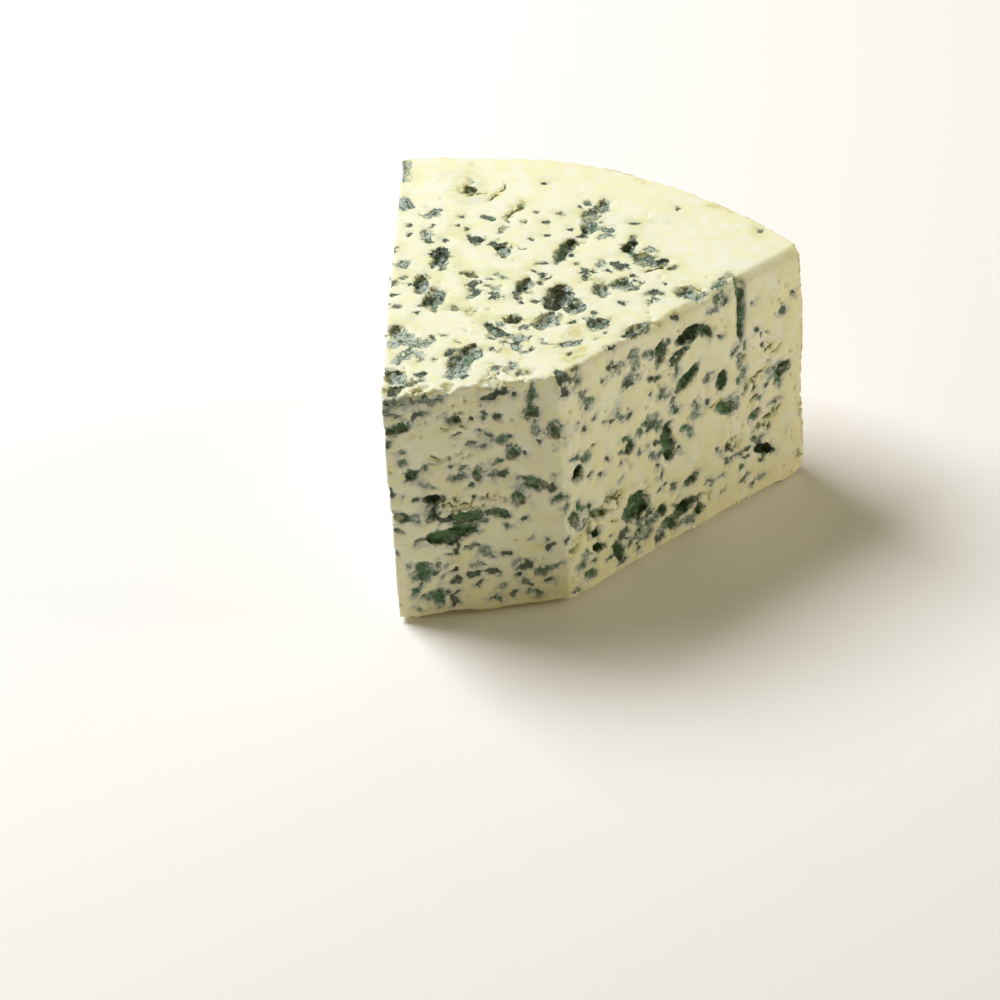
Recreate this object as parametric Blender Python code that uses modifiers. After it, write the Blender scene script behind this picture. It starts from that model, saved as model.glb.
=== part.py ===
"""A wedge of blue cheese, cut from a tall round cheese that was first halved across its height.

The wedge stands on the flat rind of the round cheese. Its curved back is the rind of the rim.
The top, the two long sides and the small front are cuts, and mould pockets open in all of them.
Run it with blender --background --python part.py. Lengths are in metres, +Z is up.
"""
import math
import random
from collections import namedtuple

import bmesh
import bpy
from mathutils import Matrix, Vector, noise

MM = 0.001

# The round cheese, and the height at which it was halved
CHEESE_RADIUS = 150 * MM
WEDGE_HEIGHT = 95 * MM
RIM_SEGMENTS = 160
LOWER_RIM_ROUND = 7 * MM

# The wedge in plan, measured from the middle of the round cheese
RIM_RIGHT_ANGLE = math.radians(31.8)
RIM_LEFT_ANGLE = math.radians(92.4)
RIDGE_CORNER = Vector((42.0, 13.6)) * MM
FRONT_CORNER = Vector((-16.4, 9.2)) * MM

# How soft the cut edges are
RIDGE_ROUND = 3.5 * MM
TOP_EDGE_ROUND = 2.5 * MM

# The even mesh that carries the relief has cells of about 6 mm
MESH_DEPTH = 5
MESH_SCALE = 0.78

# Swells of the cuts and of the rind, and the slope below which a surface counts as level
WAVE_LENGTH = 26 * MM
CUT_WAVE = 0.5 * MM
RIND_WAVE = 1.0 * MM
LEVEL_NORMAL = 0.9

# The flat foot: how far its four corners lie in from those of the outline, and how high the base
# rises around it, because a soft cheese stands on its middle and its edges lift
FOOT_INSET = 12 * MM
FOOT_MARGIN = 1 * MM
FOOT_RISE = 0.6 * MM
FOOT_RUN = 8 * MM

# The ragged lower edge, where crumbs of the rind have broken away
EDGE_LIFT = 2.2 * MM
EDGE_CRUMB = 9 * MM
EDGE_PULL = 0.8 * MM

# Mould pockets: how lumpy they are, how far they lie below the face, and how finely they are cut
POCKET_LUMPS = 0.55
POCKET_LUMP_RATE = 1.5
POCKET_SINK = 0.22
LARGE_POCKET = 10
PLAIN_DETAIL = 2
LARGE_DETAIL = 3

# Sizes and places in millimetres and degrees: along and up the cut face, then the mouth's length
# and width, the depth, and how far the length is turned from the level. On the top, along is +X
# and up is +Y, from the middle of the round cheese.
Pocket = namedtuple("Pocket", "along up length width depth turn")

TOP_POCKETS = (
    Pocket(44, 59, 14, 9, 6, 70),
    Pocket(50, 53, 8, 5, 1.8, 70),
    Pocket(48, 87, 14, 4.5, 4, 62),
    Pocket(33, 67, 8, 5, 3.5, 60),
    Pocket(5.5, 87, 10, 6, 2, 80),
    Pocket(-1.5, 72, 11, 4.5, 3, 80),
    Pocket(2.5, 63, 12, 7, 3, 75),
    Pocket(27, 89, 8, 5.5, 1.8, -60),
    Pocket(28.5, 48, 6, 4, 3, 10),
    Pocket(39, 46, 11, 7, 1.6, 35),
    Pocket(21.5, 43.5, 9, 2.5, 2.5, -60),
    Pocket(11.5, 27, 17, 8, 1.8, 55),
    Pocket(-10, 46, 6, 5, 2, -40),
    Pocket(-11.5, 20, 8, 6, 2, -60),
    Pocket(62.5, 112, 9, 4.5, 1.6, 80),
    Pocket(58, 106, 9, 5, 1.8, 65),
    Pocket(57, 99.5, 8, 5, 2, 65),
    Pocket(70, 86, 8, 3.5, 2.2, 60),
    Pocket(76, 77, 12, 7, 1.6, -35),
    Pocket(88, 56, 11, 6, 1.8, -25),
    Pocket(66, 64, 8, 6, 1.6, 10),
    Pocket(59, 62, 8, 5, 2, 70),
    Pocket(56, 42, 8, 6, 1.6, 10),
    Pocket(68.5, 38.5, 8, 3, 1.6, 30),
    Pocket(-6, 142, 13, 5, 2, 85),
    Pocket(17, 128, 5, 4, 2, 0),
)

RIGHT_POCKETS = (
    Pocket(57.5, 83.5, 12, 5, 2.5, 8),
    Pocket(64, 80.5, 8, 4, 1.8, -55),
    Pocket(52, 77.5, 9, 3.5, 1.5, 22),
    Pocket(44, 82, 9, 5, 1.5, 80),
    Pocket(55.5, 66.5, 14, 4.5, 2, 32),
    Pocket(70.5, 57.5, 9, 4.5, 2.2, 90),
    Pocket(71.5, 45.5, 10, 4.5, 2, -28),
    Pocket(45.5, 44.5, 15, 5, 2.2, -82),
    Pocket(6, 52, 6.5, 4.5, 6, 80),
    Pocket(30.5, 25, 11, 10, 3, 60),
    Pocket(3.5, 34, 7, 4.5, 2, 90),
    Pocket(13, 31, 8, 3, 1.5, -25),
    Pocket(12.5, 23.5, 4.5, 3.5, 2, 0),
    Pocket(13, 17, 5, 3.5, 2.5, -35),
    Pocket(51.5, 13, 9, 5, 3.5, 15),
    Pocket(45, 9.5, 8, 5, 2, -30),
    Pocket(58.5, 8.5, 5, 4, 2, -40),
    Pocket(42, 17, 5, 3.5, 2, 80),
    Pocket(21.5, 10.5, 9, 4, 1.8, -75),
    Pocket(89, 19, 10, 4, 3, -30),
    Pocket(85.5, 35.5, 6.5, 4.5, 1.5, 20),
    Pocket(98, 48, 8, 5, 1.5, 40),
    Pocket(55.5, 23, 7, 3.5, 1.8, 20),
    Pocket(28.5, 51, 6, 4, 1.5, 75),
)

FRONT_POCKETS = (
    Pocket(14.3, 50.3, 5.5, 5, 6, 0),
    Pocket(14, 45, 7, 6, 2, 80),
    Pocket(19.5, 35, 18, 6.5, 4, 12),
    Pocket(25, 42, 12, 6, 2, 10),
    Pocket(4, 80.5, 10, 4, 1.8, 20),
    Pocket(23.5, 81.7, 5.5, 2.8, 1.5, 0),
    Pocket(42, 66, 7, 4, 1.8, 60),
    Pocket(56, 73.5, 7, 5, 1.8, 80),
    Pocket(8, 61.5, 6, 4, 1.6, 20),
    Pocket(48.5, 53, 12, 3, 1.6, -28),
    Pocket(43.5, 47, 6, 4, 1.8, -35),
    Pocket(36, 41.5, 9, 3, 1.6, -12),
    Pocket(30, 59, 6, 4, 1.6, 80),
    Pocket(3, 44, 8, 4.5, 1.8, 0),
)

# Bites out of the crumbly edge between the top and the front
EDGE_BITES = (
    Pocket(3, 95, 9, 5, 4, 0),
    Pocket(14, 96, 8, 5, 3.5, 0),
    Pocket(22.5, 95, 5, 4, 3, 0),
    Pocket(36, 95.5, 9, 5, 3.5, 0),
)

# Channels left by the piercing needle: place along the face, top and bottom height, and width
Channel = namedtuple("Channel", "along top bottom top_width bottom_width")
CHANNEL_SIDES = 8
CHANNEL_RINGS = 7
CHANNEL_WANDER = 1.0
CHANNEL_BEND = 7
RIGHT_CHANNEL = Channel(79.8, 99, 71, 3.6, 2.6)
FRONT_CHANNEL = Channel(49.2, 91, 79.5, 1.8, 4.0)

# The left cut has pockets by a rule: none close to the rim, more towards the front
LEFT_POCKET_COUNT = 15
LEFT_POCKET_SEED = 23
LEFT_CLEAR_RIM = 27
LEFT_CLEAR_EDGE = 9
LEFT_SPACING = 13
LEFT_LENGTHS = (5, 12)
LEFT_WIDTH_SHARES = (0.35, 0.7)
LEFT_DEPTHS = (1.6, 4)
LEFT_TURNS = (10, 80)

# Share of the faces that is kept, flat stretches going first
KEPT_FACES = 0.55

# Finish
PASTE_COLOUR = (0.90, 0.86, 0.68, 1)
PASTE_ROUGHNESS = 0.55

RIM_RIGHT = Vector((math.cos(RIM_RIGHT_ANGLE), math.sin(RIM_RIGHT_ANGLE))) * CHEESE_RADIUS
RIM_LEFT = Vector((math.cos(RIM_LEFT_ANGLE), math.sin(RIM_LEFT_ANGLE))) * CHEESE_RADIUS
PLAN_MIDDLE = Vector((
    (FRONT_CORNER.x + RIM_RIGHT.x) / 2,
    (FRONT_CORNER.y + CHEESE_RADIUS) / 2,
    0,
))
TOUCHING = 0.01 * MM
CLOSE = 0.1 * MM


def clear_scene():
    """Remove what the file holds, so that the script can run again."""
    for item in list(bpy.data.objects):
        bpy.data.objects.remove(item, do_unlink=True)
    for group in list(bpy.data.collections):
        bpy.data.collections.remove(group)


def new_collection(name):
    """Add a collection to the scene."""
    group = bpy.data.collections.new(name)
    bpy.context.scene.collection.children.link(group)
    return group


def new_object(name, bm, group):
    """Turn a bmesh into an object of a collection."""
    mesh = bpy.data.meshes.new(name)
    bm.to_mesh(mesh)
    bm.free()
    item = bpy.data.objects.new(name, mesh)
    group.objects.link(item)
    return item


def side_frame(start, end):
    """Matrix of an upright cut: X runs along it, Y up and Z out of the cheese."""
    along = (end - start).normalized().to_3d()
    up = Vector((0, 0, 1))
    rows = Matrix((along, up, along.cross(up))).transposed()
    return Matrix.Translation(start.to_3d()) @ rows.to_4x4()


def cut_away(bm, point, outward):
    """Cut the solid with a plane, drop what lies outward of it and close the cut."""
    geometry = bm.verts[:] + bm.edges[:] + bm.faces[:]
    bmesh.ops.bisect_plane(
        bm, geom=geometry, dist=TOUCHING, plane_co=point, plane_no=outward, clear_outer=True
    )
    open_edges = [edge for edge in bm.edges if edge.is_boundary]
    bmesh.ops.holes_fill(bm, edges=open_edges)


def bevel_edges(bm, chosen, offset, segments):
    """Round the edges that a test picks."""
    edges = [edge for edge in bm.edges if chosen(edge)]
    bmesh.ops.bevel(
        bm, geom=edges, offset=offset, segments=segments, profile=0.5, affect='EDGES'
    )


def plain_wedge():
    """The halved round cheese, cut down to the wedge, with its soft edges."""
    bm = bmesh.new()
    bmesh.ops.create_cone(
        bm,
        cap_ends=True,
        segments=RIM_SEGMENTS,
        radius1=CHEESE_RADIUS,
        radius2=CHEESE_RADIUS,
        depth=WEDGE_HEIGHT,
        matrix=Matrix.Translation((0, 0, WEDGE_HEIGHT / 2)),
    )
    for frame in (RIGHT, FRONT, LEFT):
        cut_away(bm, frame.translation, frame.col[2].to_3d())
    bevel_edges(bm, is_ridge, RIDGE_ROUND, 2)
    bevel_edges(bm, is_right_top_edge, TOP_EDGE_ROUND, 1)
    return bm


def is_ridge(edge):
    """True on the upright edge where the right cut meets the front."""
    return all((vert.co.to_2d() - RIDGE_CORNER).length < CLOSE for vert in edge.verts)


def is_right_top_edge(edge):
    """True on the edge between the top and the right cut."""
    into_right = RIGHT.inverted()
    for vert in edge.verts:
        local = into_right @ vert.co
        if abs(local.z) > CLOSE or abs(vert.co.z - WEDGE_HEIGHT) > CLOSE:
            return False
    return True


def apply_modifiers(item):
    """Replace an object's mesh with its evaluated one."""
    graph = bpy.context.evaluated_depsgraph_get()
    mesh = bpy.data.meshes.new_from_object(item.evaluated_get(graph))
    item.modifiers.clear()
    item.data = mesh


def even_mesh(item):
    """Give the wedge faces of one size, with its edges kept sharp."""
    remesh = item.modifiers.new("Even mesh", 'REMESH')
    remesh.mode = 'SHARP'
    remesh.octree_depth = MESH_DEPTH
    remesh.scale = MESH_SCALE
    remesh.use_remove_disconnected = False
    apply_modifiers(item)


def swell(point, height):
    """Height of the gentle swells at a point."""
    broad = noise.noise(point / WAVE_LENGTH)
    fine = noise.noise(point * 3 / WAVE_LENGTH)
    return height * (broad + fine / 3)


def round_lower_rim(bm):
    """Bring the points near the rind's lower edge in to its round corner."""
    corner = Vector((CHEESE_RADIUS - LOWER_RIM_ROUND, LOWER_RIM_ROUND))
    for vert in bm.verts:
        radius = vert.co.to_2d().length
        out = Vector((radius, vert.co.z)) - corner
        if out.x > 0 > out.y and out.length > LOWER_RIM_ROUND:
            target = corner + out.normalized() * LOWER_RIM_ROUND
            share = target.x / radius
            vert.co = (vert.co.x * share, vert.co.y * share, target.y)


def foot_corners(base):
    """The points of the base that are the foot's corners, anticlockwise."""
    outline = (FRONT_CORNER, RIDGE_CORNER, RIM_RIGHT, RIM_LEFT)
    middle = sum(outline, Vector((0, 0))) / len(outline)
    corners = []
    for corner in outline:
        place = corner + (middle - corner).normalized() * FOOT_INSET
        corners.append(min(base, key=lambda vert: (vert.co.to_2d() - place).length))
    return corners


def foot_rise(vert, foot):
    """How high the base lies at a point: level inside the foot, and rising around it."""
    if vert in foot:
        return 0
    outside = -math.inf
    for corner, following in zip(foot, foot[1:] + foot[:1]):
        run = (following.co - corner.co).to_2d().normalized()
        reach = (vert.co - corner.co).to_2d()
        outside = max(outside, reach.dot(Vector((run.y, -run.x))))
    if outside < -FOOT_MARGIN:
        return 0
    return FOOT_RISE * (0.5 + 0.5 * min(max(outside, 0) / FOOT_RUN, 1))


def add_relief(bm):
    """Swell the cuts and the rind, shape the foot, and make the lower edge ragged."""
    bm.normal_update()
    base = [vert for vert in bm.verts if vert.co.z < MM / 2]
    foot = foot_corners(base)
    moves = {}
    for vert in bm.verts:
        near_rind = vert.co.to_2d().length > CHEESE_RADIUS - LOWER_RIM_ROUND
        is_rind = near_rind and abs(vert.normal.z) < LEVEL_NORMAL
        moves[vert] = vert.normal * swell(vert.co, RIND_WAVE if is_rind else CUT_WAVE)
    for vert in base:
        moves[vert] = Vector((0, 0, foot_rise(vert, foot) - vert.co.z))
        near_rind = vert.co.to_2d().length > CHEESE_RADIUS - LOWER_RIM_ROUND * 2
        if vert.normal.z > -LEVEL_NORMAL and not near_rind:
            level = Vector((vert.normal.x, vert.normal.y, 0))
            crumb = noise.noise(vert.co / EDGE_CRUMB)
            lift = EDGE_LIFT * min(max(0.5 + crumb, 0), 1)
            moves[vert] += level * EDGE_PULL * crumb + Vector((0, 0, lift))
    for vert, move in moves.items():
        vert.co += move
        vert.co.z = max(vert.co.z, 0)


def flatten_base(bm):
    """Make one flat face of the faces that the wedge stands on."""
    base = [face for face in bm.faces if all(vert.co.z == 0 for vert in face.verts)]
    bmesh.ops.dissolve_faces(bm, faces=base, use_verts=True)


def pocket_solid(name, pocket, frame, group):
    """A lumpy blob that cuts one pocket, with its mouth on the face."""
    bm = bmesh.new()
    detail = LARGE_DETAIL if pocket.length > LARGE_POCKET else PLAIN_DETAIL
    bmesh.ops.create_icosphere(bm, subdivisions=detail, radius=1)
    place = Vector((pocket.along, pocket.up, -pocket.depth * POCKET_SINK)) * MM
    for vert in bm.verts:
        lump = noise.noise(vert.co * POCKET_LUMP_RATE + place / MM)
        vert.co *= 1 + POCKET_LUMPS * lump
    size = Matrix.Diagonal((pocket.length / 2, pocket.width / 2, pocket.depth, 1 / MM)) * MM
    turn = Matrix.Rotation(math.radians(pocket.turn), 4, 'Z')
    matrix = frame @ Matrix.Translation(place) @ turn @ size
    bmesh.ops.transform(bm, matrix=matrix, verts=bm.verts)
    return new_object(name, bm, group)


def channel_solid(name, channel, frame, group):
    """A wandering round bar, half in the face, that cuts a needle's channel."""
    bm = bmesh.new()
    length = (channel.top - channel.bottom) * MM
    bmesh.ops.create_cone(
        bm,
        cap_ends=True,
        segments=CHANNEL_SIDES,
        radius1=channel.bottom_width * MM / 2,
        radius2=channel.top_width * MM / 2,
        depth=length,
    )
    for ring in range(1, CHANNEL_RINGS):
        height = length * (ring / CHANNEL_RINGS - 0.5)
        geometry = bm.verts[:] + bm.edges[:] + bm.faces[:]
        bmesh.ops.bisect_plane(bm, geom=geometry, plane_co=(0, 0, height), plane_no=(0, 0, 1))
    for vert in bm.verts:
        bend = vert.co.z / MM / CHANNEL_BEND
        wander = Vector((noise.noise((bend, 0, 3)), noise.noise((bend, 5, 0)), 0))
        vert.co += wander * CHANNEL_WANDER * MM
    upright = Matrix.Rotation(math.radians(-90), 4, 'X')
    middle = Vector((channel.along, (channel.top + channel.bottom) / 2, 0)) * MM
    bmesh.ops.transform(bm, matrix=frame @ Matrix.Translation(middle) @ upright, verts=bm.verts)
    return new_object(name, bm, group)


def left_pockets():
    """Pockets of the left cut, spread by a seeded rule."""
    draw = random.Random(LEFT_POCKET_SEED)
    span = (FRONT_CORNER - RIM_LEFT).length / MM
    placed = []
    while len(placed) < LEFT_POCKET_COUNT:
        toward_front = math.sqrt(draw.random())
        along = LEFT_CLEAR_RIM + (span - LEFT_CLEAR_RIM - LEFT_CLEAR_EDGE) * toward_front
        up = draw.uniform(LEFT_CLEAR_EDGE, WEDGE_HEIGHT / MM - LEFT_CLEAR_EDGE)
        length = draw.uniform(*LEFT_LENGTHS)
        width = length * draw.uniform(*LEFT_WIDTH_SHARES)
        depth = draw.uniform(*LEFT_DEPTHS)
        pocket = Pocket(along, up, length, width, depth, draw.uniform(*LEFT_TURNS))
        spaces = [math.hypot(along - other.along, up - other.up) for other in placed]
        if all(space > LEFT_SPACING for space in spaces):
            placed.append(pocket)
    return placed


def add_cutters(group):
    """Make every pocket, bite and channel cutter."""
    faces = (
        ("top", TOP_POCKETS, TOP),
        ("right", RIGHT_POCKETS, RIGHT),
        ("front", FRONT_POCKETS, FRONT),
        ("edge", EDGE_BITES, FRONT),
        ("left", left_pockets(), LEFT),
    )
    for side, pockets, frame in faces:
        for number, pocket in enumerate(pockets):
            pocket_solid(f"{side}_pocket_{number}", pocket, frame, group)
    channel_solid("right_channel", RIGHT_CHANNEL, RIGHT, group)
    channel_solid("front_channel", FRONT_CHANNEL, FRONT, group)
    for item in group.objects:
        item.display_type = 'WIRE'
        item.hide_render = True


def cut_pockets(cheese, cutters):
    """Take the cutters out of the cheese, and drop scraps that come loose."""
    pockets = cheese.modifiers.new("Pockets", 'BOOLEAN')
    pockets.operation = 'DIFFERENCE'
    pockets.operand_type = 'COLLECTION'
    pockets.collection = cutters
    pockets.solver = 'EXACT'
    apply_modifiers(cheese)
    for item in list(cutters.objects):
        bpy.data.objects.remove(item, do_unlink=True)

    bm = bmesh.new()
    bm.from_mesh(cheese.data)
    shells = sorted(shells_of(bm), key=len)
    for scrap in shells[:-1]:
        bmesh.ops.delete(bm, geom=list(scrap), context='VERTS')
    bm.to_mesh(cheese.data)
    bm.free()


def shells_of(bm):
    """The sets of points that hang together."""
    shells = []
    left = set(bm.verts)
    while left:
        shell = set()
        waiting = [left.pop()]
        while waiting:
            vert = waiting.pop()
            shell.add(vert)
            near = {edge.other_vert(vert) for edge in vert.link_edges} & left
            left -= near
            waiting.extend(near)
        shells.append(shell)
    return shells


def thin_faces(cheese):
    """Take faces away where the surface is flattest, but leave the foot as it is."""
    foot = cheese.vertex_groups.new(name="foot")
    foot.add([vert.index for vert in cheese.data.vertices if vert.co.z < CLOSE], 1, 'REPLACE')
    fewer = cheese.modifiers.new("Fewer faces", 'DECIMATE')
    fewer.ratio = KEPT_FACES
    fewer.vertex_group = foot.name
    fewer.invert_vertex_group = True


def paste_material():
    """The ivory paste."""
    material = bpy.data.materials.new("blue_cheese_paste")
    material.use_nodes = True
    shader = material.node_tree.nodes["Principled BSDF"]
    shader.inputs["Base Color"].default_value = PASTE_COLOUR
    shader.inputs["Roughness"].default_value = PASTE_ROUGHNESS
    shader.inputs["Metallic"].default_value = 0
    return material


def main():
    """Model the wedge and stand it over the origin."""
    clear_scene()
    parts = new_collection("blue_cheese_wedge")
    cutters = new_collection("cutters")

    cheese = new_object("blue_cheese", plain_wedge(), parts)
    even_mesh(cheese)
    bm = bmesh.new()
    bm.from_mesh(cheese.data)
    round_lower_rim(bm)
    add_relief(bm)
    flatten_base(bm)
    bm.to_mesh(cheese.data)
    bm.free()
    cheese.data.materials.append(paste_material())

    add_cutters(cutters)
    cut_pockets(cheese, cutters)
    thin_faces(cheese)
    cheese.location = -PLAN_MIDDLE


RIGHT = side_frame(RIDGE_CORNER, RIM_RIGHT)
FRONT = side_frame(FRONT_CORNER, RIDGE_CORNER)
LEFT = side_frame(RIM_LEFT, FRONT_CORNER)
TOP = Matrix.Translation((0, 0, WEDGE_HEIGHT))

main()
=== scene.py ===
# %% [markdown]
# # A wedge of blue cheese
#
# The solid of the wedge is already built: a tall round cheese, halved across its height and cut
# like a cake. This lesson gives it its looks: ivory paste, veins of blue-green mould, torn
# pockets, a weathered rind and a few crumbs. We start by loading the solid as a fixed frame, and
# by noting its box, because the finished wedge has to keep its size. Blender shifts its vector
# noise by the time of day unless it is given a seed, so it gets one here: the cheese has to come
# out the same on every run.

import math
import random
from collections import namedtuple

import bpy
import numpy as np
from mathutils import Matrix, Vector, noise


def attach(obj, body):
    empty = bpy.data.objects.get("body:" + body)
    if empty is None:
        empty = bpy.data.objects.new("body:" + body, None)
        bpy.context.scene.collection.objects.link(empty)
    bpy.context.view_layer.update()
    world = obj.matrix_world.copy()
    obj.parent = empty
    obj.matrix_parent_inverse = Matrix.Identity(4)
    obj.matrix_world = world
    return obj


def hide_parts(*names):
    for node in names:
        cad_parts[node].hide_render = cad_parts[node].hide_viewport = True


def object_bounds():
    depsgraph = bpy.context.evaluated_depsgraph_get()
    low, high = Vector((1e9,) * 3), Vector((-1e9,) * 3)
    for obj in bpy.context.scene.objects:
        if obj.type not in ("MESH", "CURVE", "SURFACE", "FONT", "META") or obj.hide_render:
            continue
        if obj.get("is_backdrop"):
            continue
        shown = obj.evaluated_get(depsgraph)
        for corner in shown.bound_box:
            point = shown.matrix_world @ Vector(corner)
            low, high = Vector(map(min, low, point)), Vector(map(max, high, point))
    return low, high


NOISE_SEED = 4

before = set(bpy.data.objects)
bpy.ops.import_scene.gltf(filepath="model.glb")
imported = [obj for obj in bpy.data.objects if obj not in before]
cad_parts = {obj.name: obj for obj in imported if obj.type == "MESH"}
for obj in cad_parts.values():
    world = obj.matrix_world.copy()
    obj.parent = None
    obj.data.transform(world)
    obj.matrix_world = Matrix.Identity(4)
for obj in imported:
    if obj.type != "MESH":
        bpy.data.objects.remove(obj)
cad_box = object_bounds()
noise.seed_set(NOISE_SEED)
bpy.ops.object.select_all(action='DESELECT')
print("nodes:", sorted(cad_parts))

# %% [markdown]
# ## The sizes of the cheese
#
# Every mark on the cheese is placed on one of its cuts, so the first thing to set up is a ruler
# for each cut: an origin, a direction along it, a direction up it, and the direction out of the
# cheese. A cut could be found again from the faces of the solid, but the plan of the wedge is
# only a few numbers, and with them the rulers are exact. Lengths here are in millimetres.

# %% Rulers for the cuts
MM = 0.001
CHEESE_RADIUS = 150
WEDGE_HEIGHT = 95
LOWER_RIM_ROUND = 7
RIM_RIGHT_ANGLE = math.radians(31.8)
RIM_LEFT_ANGLE = math.radians(92.4)
RIDGE_CORNER = (42.0, 13.6)
FRONT_CORNER = (-16.4, 9.2)

Side = namedtuple("Side", "origin along up out")


def rim_point(angle):
    """A point of the rim in plan, from the middle of the round cheese."""
    return (CHEESE_RADIUS * math.cos(angle), CHEESE_RADIUS * math.sin(angle))


def upright_cut(start, end):
    """The ruler of a cut that stands on the base, from one corner of the plan to another."""
    run = np.array((end[0] - start[0], end[1] - start[1], 0))
    along = run / np.linalg.norm(run)
    up = np.array((0, 0, 1))
    return Side(np.array((*start, 0)) - PLAN_MIDDLE, along, up, np.cross(along, up))


PLAN_MIDDLE = np.array((
    (FRONT_CORNER[0] + rim_point(RIM_RIGHT_ANGLE)[0]) / 2,
    (FRONT_CORNER[1] + CHEESE_RADIUS) / 2,
    0,
))
CUTS = {
    "top": Side(np.array((0, 0, WEDGE_HEIGHT)) - PLAN_MIDDLE, *np.eye(3)),
    "right": upright_cut(RIDGE_CORNER, rim_point(RIM_RIGHT_ANGLE)),
    "front": upright_cut(FRONT_CORNER, RIDGE_CORNER),
    "left": upright_cut(rim_point(RIM_LEFT_ANGLE), FRONT_CORNER),
}
for name, cut in CUTS.items():
    print(name, "faces", cut.out.round(3))


def read_ruler(cut, points):
    """How far along, up and out of a cut each point lies."""
    local = points - cut.origin
    return local @ cut.along, local @ cut.up, local @ cut.out


# %% [markdown]
# ## Camera
#
# The picture was taken from far away with a long lens, looking down by 37.5 degrees, with the
# camera rolled by almost four degrees so that the uprights lean. A camera can be aimed with a
# Track To constraint, but that cannot roll, so its three axes are worked out here and become the
# columns of its matrix.

# %% Camera
CAMERA_TARGET = Vector((-35.35, -6.0, 0)) * MM
CAMERA_DISTANCE = 1405 * MM
CAMERA_ELEVATION = math.radians(37.5)
CAMERA_ROLL = math.radians(3.8)
CAMERA_LENS = 144
CAMERA_SENSOR = 36
CAMERA_CLIP_END = 10

bpy.ops.object.camera_add()
camera = bpy.context.object
camera.data.lens = CAMERA_LENS
camera.data.sensor_width = CAMERA_SENSOR
camera.data.clip_end = CAMERA_CLIP_END
forward = Vector((0, math.cos(CAMERA_ELEVATION), -math.sin(CAMERA_ELEVATION)))
level = Vector((1, 0, 0))
upward = level.cross(forward)
rolled_x = level * math.cos(CAMERA_ROLL) - upward * math.sin(CAMERA_ROLL)
rolled_y = level * math.sin(CAMERA_ROLL) + upward * math.cos(CAMERA_ROLL)
axes = Matrix((rolled_x, rolled_y, -forward)).transposed().to_4x4()
camera.matrix_world = Matrix.Translation(CAMERA_TARGET - forward * CAMERA_DISTANCE) @ axes
bpy.context.scene.camera = camera
print("camera stands at", camera.matrix_world.translation)

# %% [markdown]
# ## Floor and light
#
# A pale floor and soft studio light. The strongest light is a large panel above, behind and to
# the left, so the top is almost white and the two upright cuts are in soft shade. A second, weaker
# panel from the right keeps the long cut lighter than the front, and a third, faint and warm,
# stands in front. Dim and warm surroundings fill the rest, as the walls of a room would. Sun lamps
# would do the same with harder shadows.

# %% Floor and light
FLOOR_SIZE = 6
FLOOR_GAP = 0.02 * MM
FLOOR_COLOUR = (0.93, 0.91, 0.87, 1)
FLOOR_ROUGHNESS = 0.8
WORLD_COLOUR = (1.0, 0.88, 0.50, 1)
WORLD_STRENGTH = 0.12
Panel = namedtuple("Panel", "name place size power colour")
PANELS = (
    Panel("key_panel", (-0.75, 0.55, 1.25), 0.8, 27.8, (0.93, 0.95, 1.0)),
    Panel("right_panel", (1.5, 0.0, 0.5), 0.9, 9.8, (1.0, 0.925, 0.77)),
    Panel("front_panel", (0.2, -1.6, 0.5), 0.9, 1.1, (1.0, 0.72, 0.15)),
)

bpy.context.scene.view_settings.view_transform = 'Standard'
bpy.ops.mesh.primitive_plane_add(size=FLOOR_SIZE, location=(0, 0, cad_box[0].z - FLOOR_GAP))
floor = bpy.context.object
floor.name = "pale_floor"
floor_finish = bpy.data.materials.new("pale_floor")
floor_finish.use_nodes = True
floor_shader = floor_finish.node_tree.nodes["Principled BSDF"]
floor_shader.inputs["Base Color"].default_value = FLOOR_COLOUR
floor_shader.inputs["Roughness"].default_value = FLOOR_ROUGHNESS
floor.data.materials.append(floor_finish)
floor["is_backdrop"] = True

world = bpy.data.worlds.new("warm_surroundings")
world.use_nodes = True
world.node_tree.nodes["Background"].inputs["Color"].default_value = WORLD_COLOUR
world.node_tree.nodes["Background"].inputs["Strength"].default_value = WORLD_STRENGTH
bpy.context.scene.world = world

for panel in PANELS:
    bpy.ops.object.light_add(type='AREA', location=panel.place)
    lamp = bpy.context.object
    lamp.name = panel.name
    lamp.data.size = panel.size
    lamp.data.energy = panel.power
    lamp.data.color = panel.colour
    lamp.rotation_euler = (-Vector(panel.place)).to_track_quat('-Z', 'Y').to_euler()
    print(panel.name, "at", panel.place)
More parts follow.
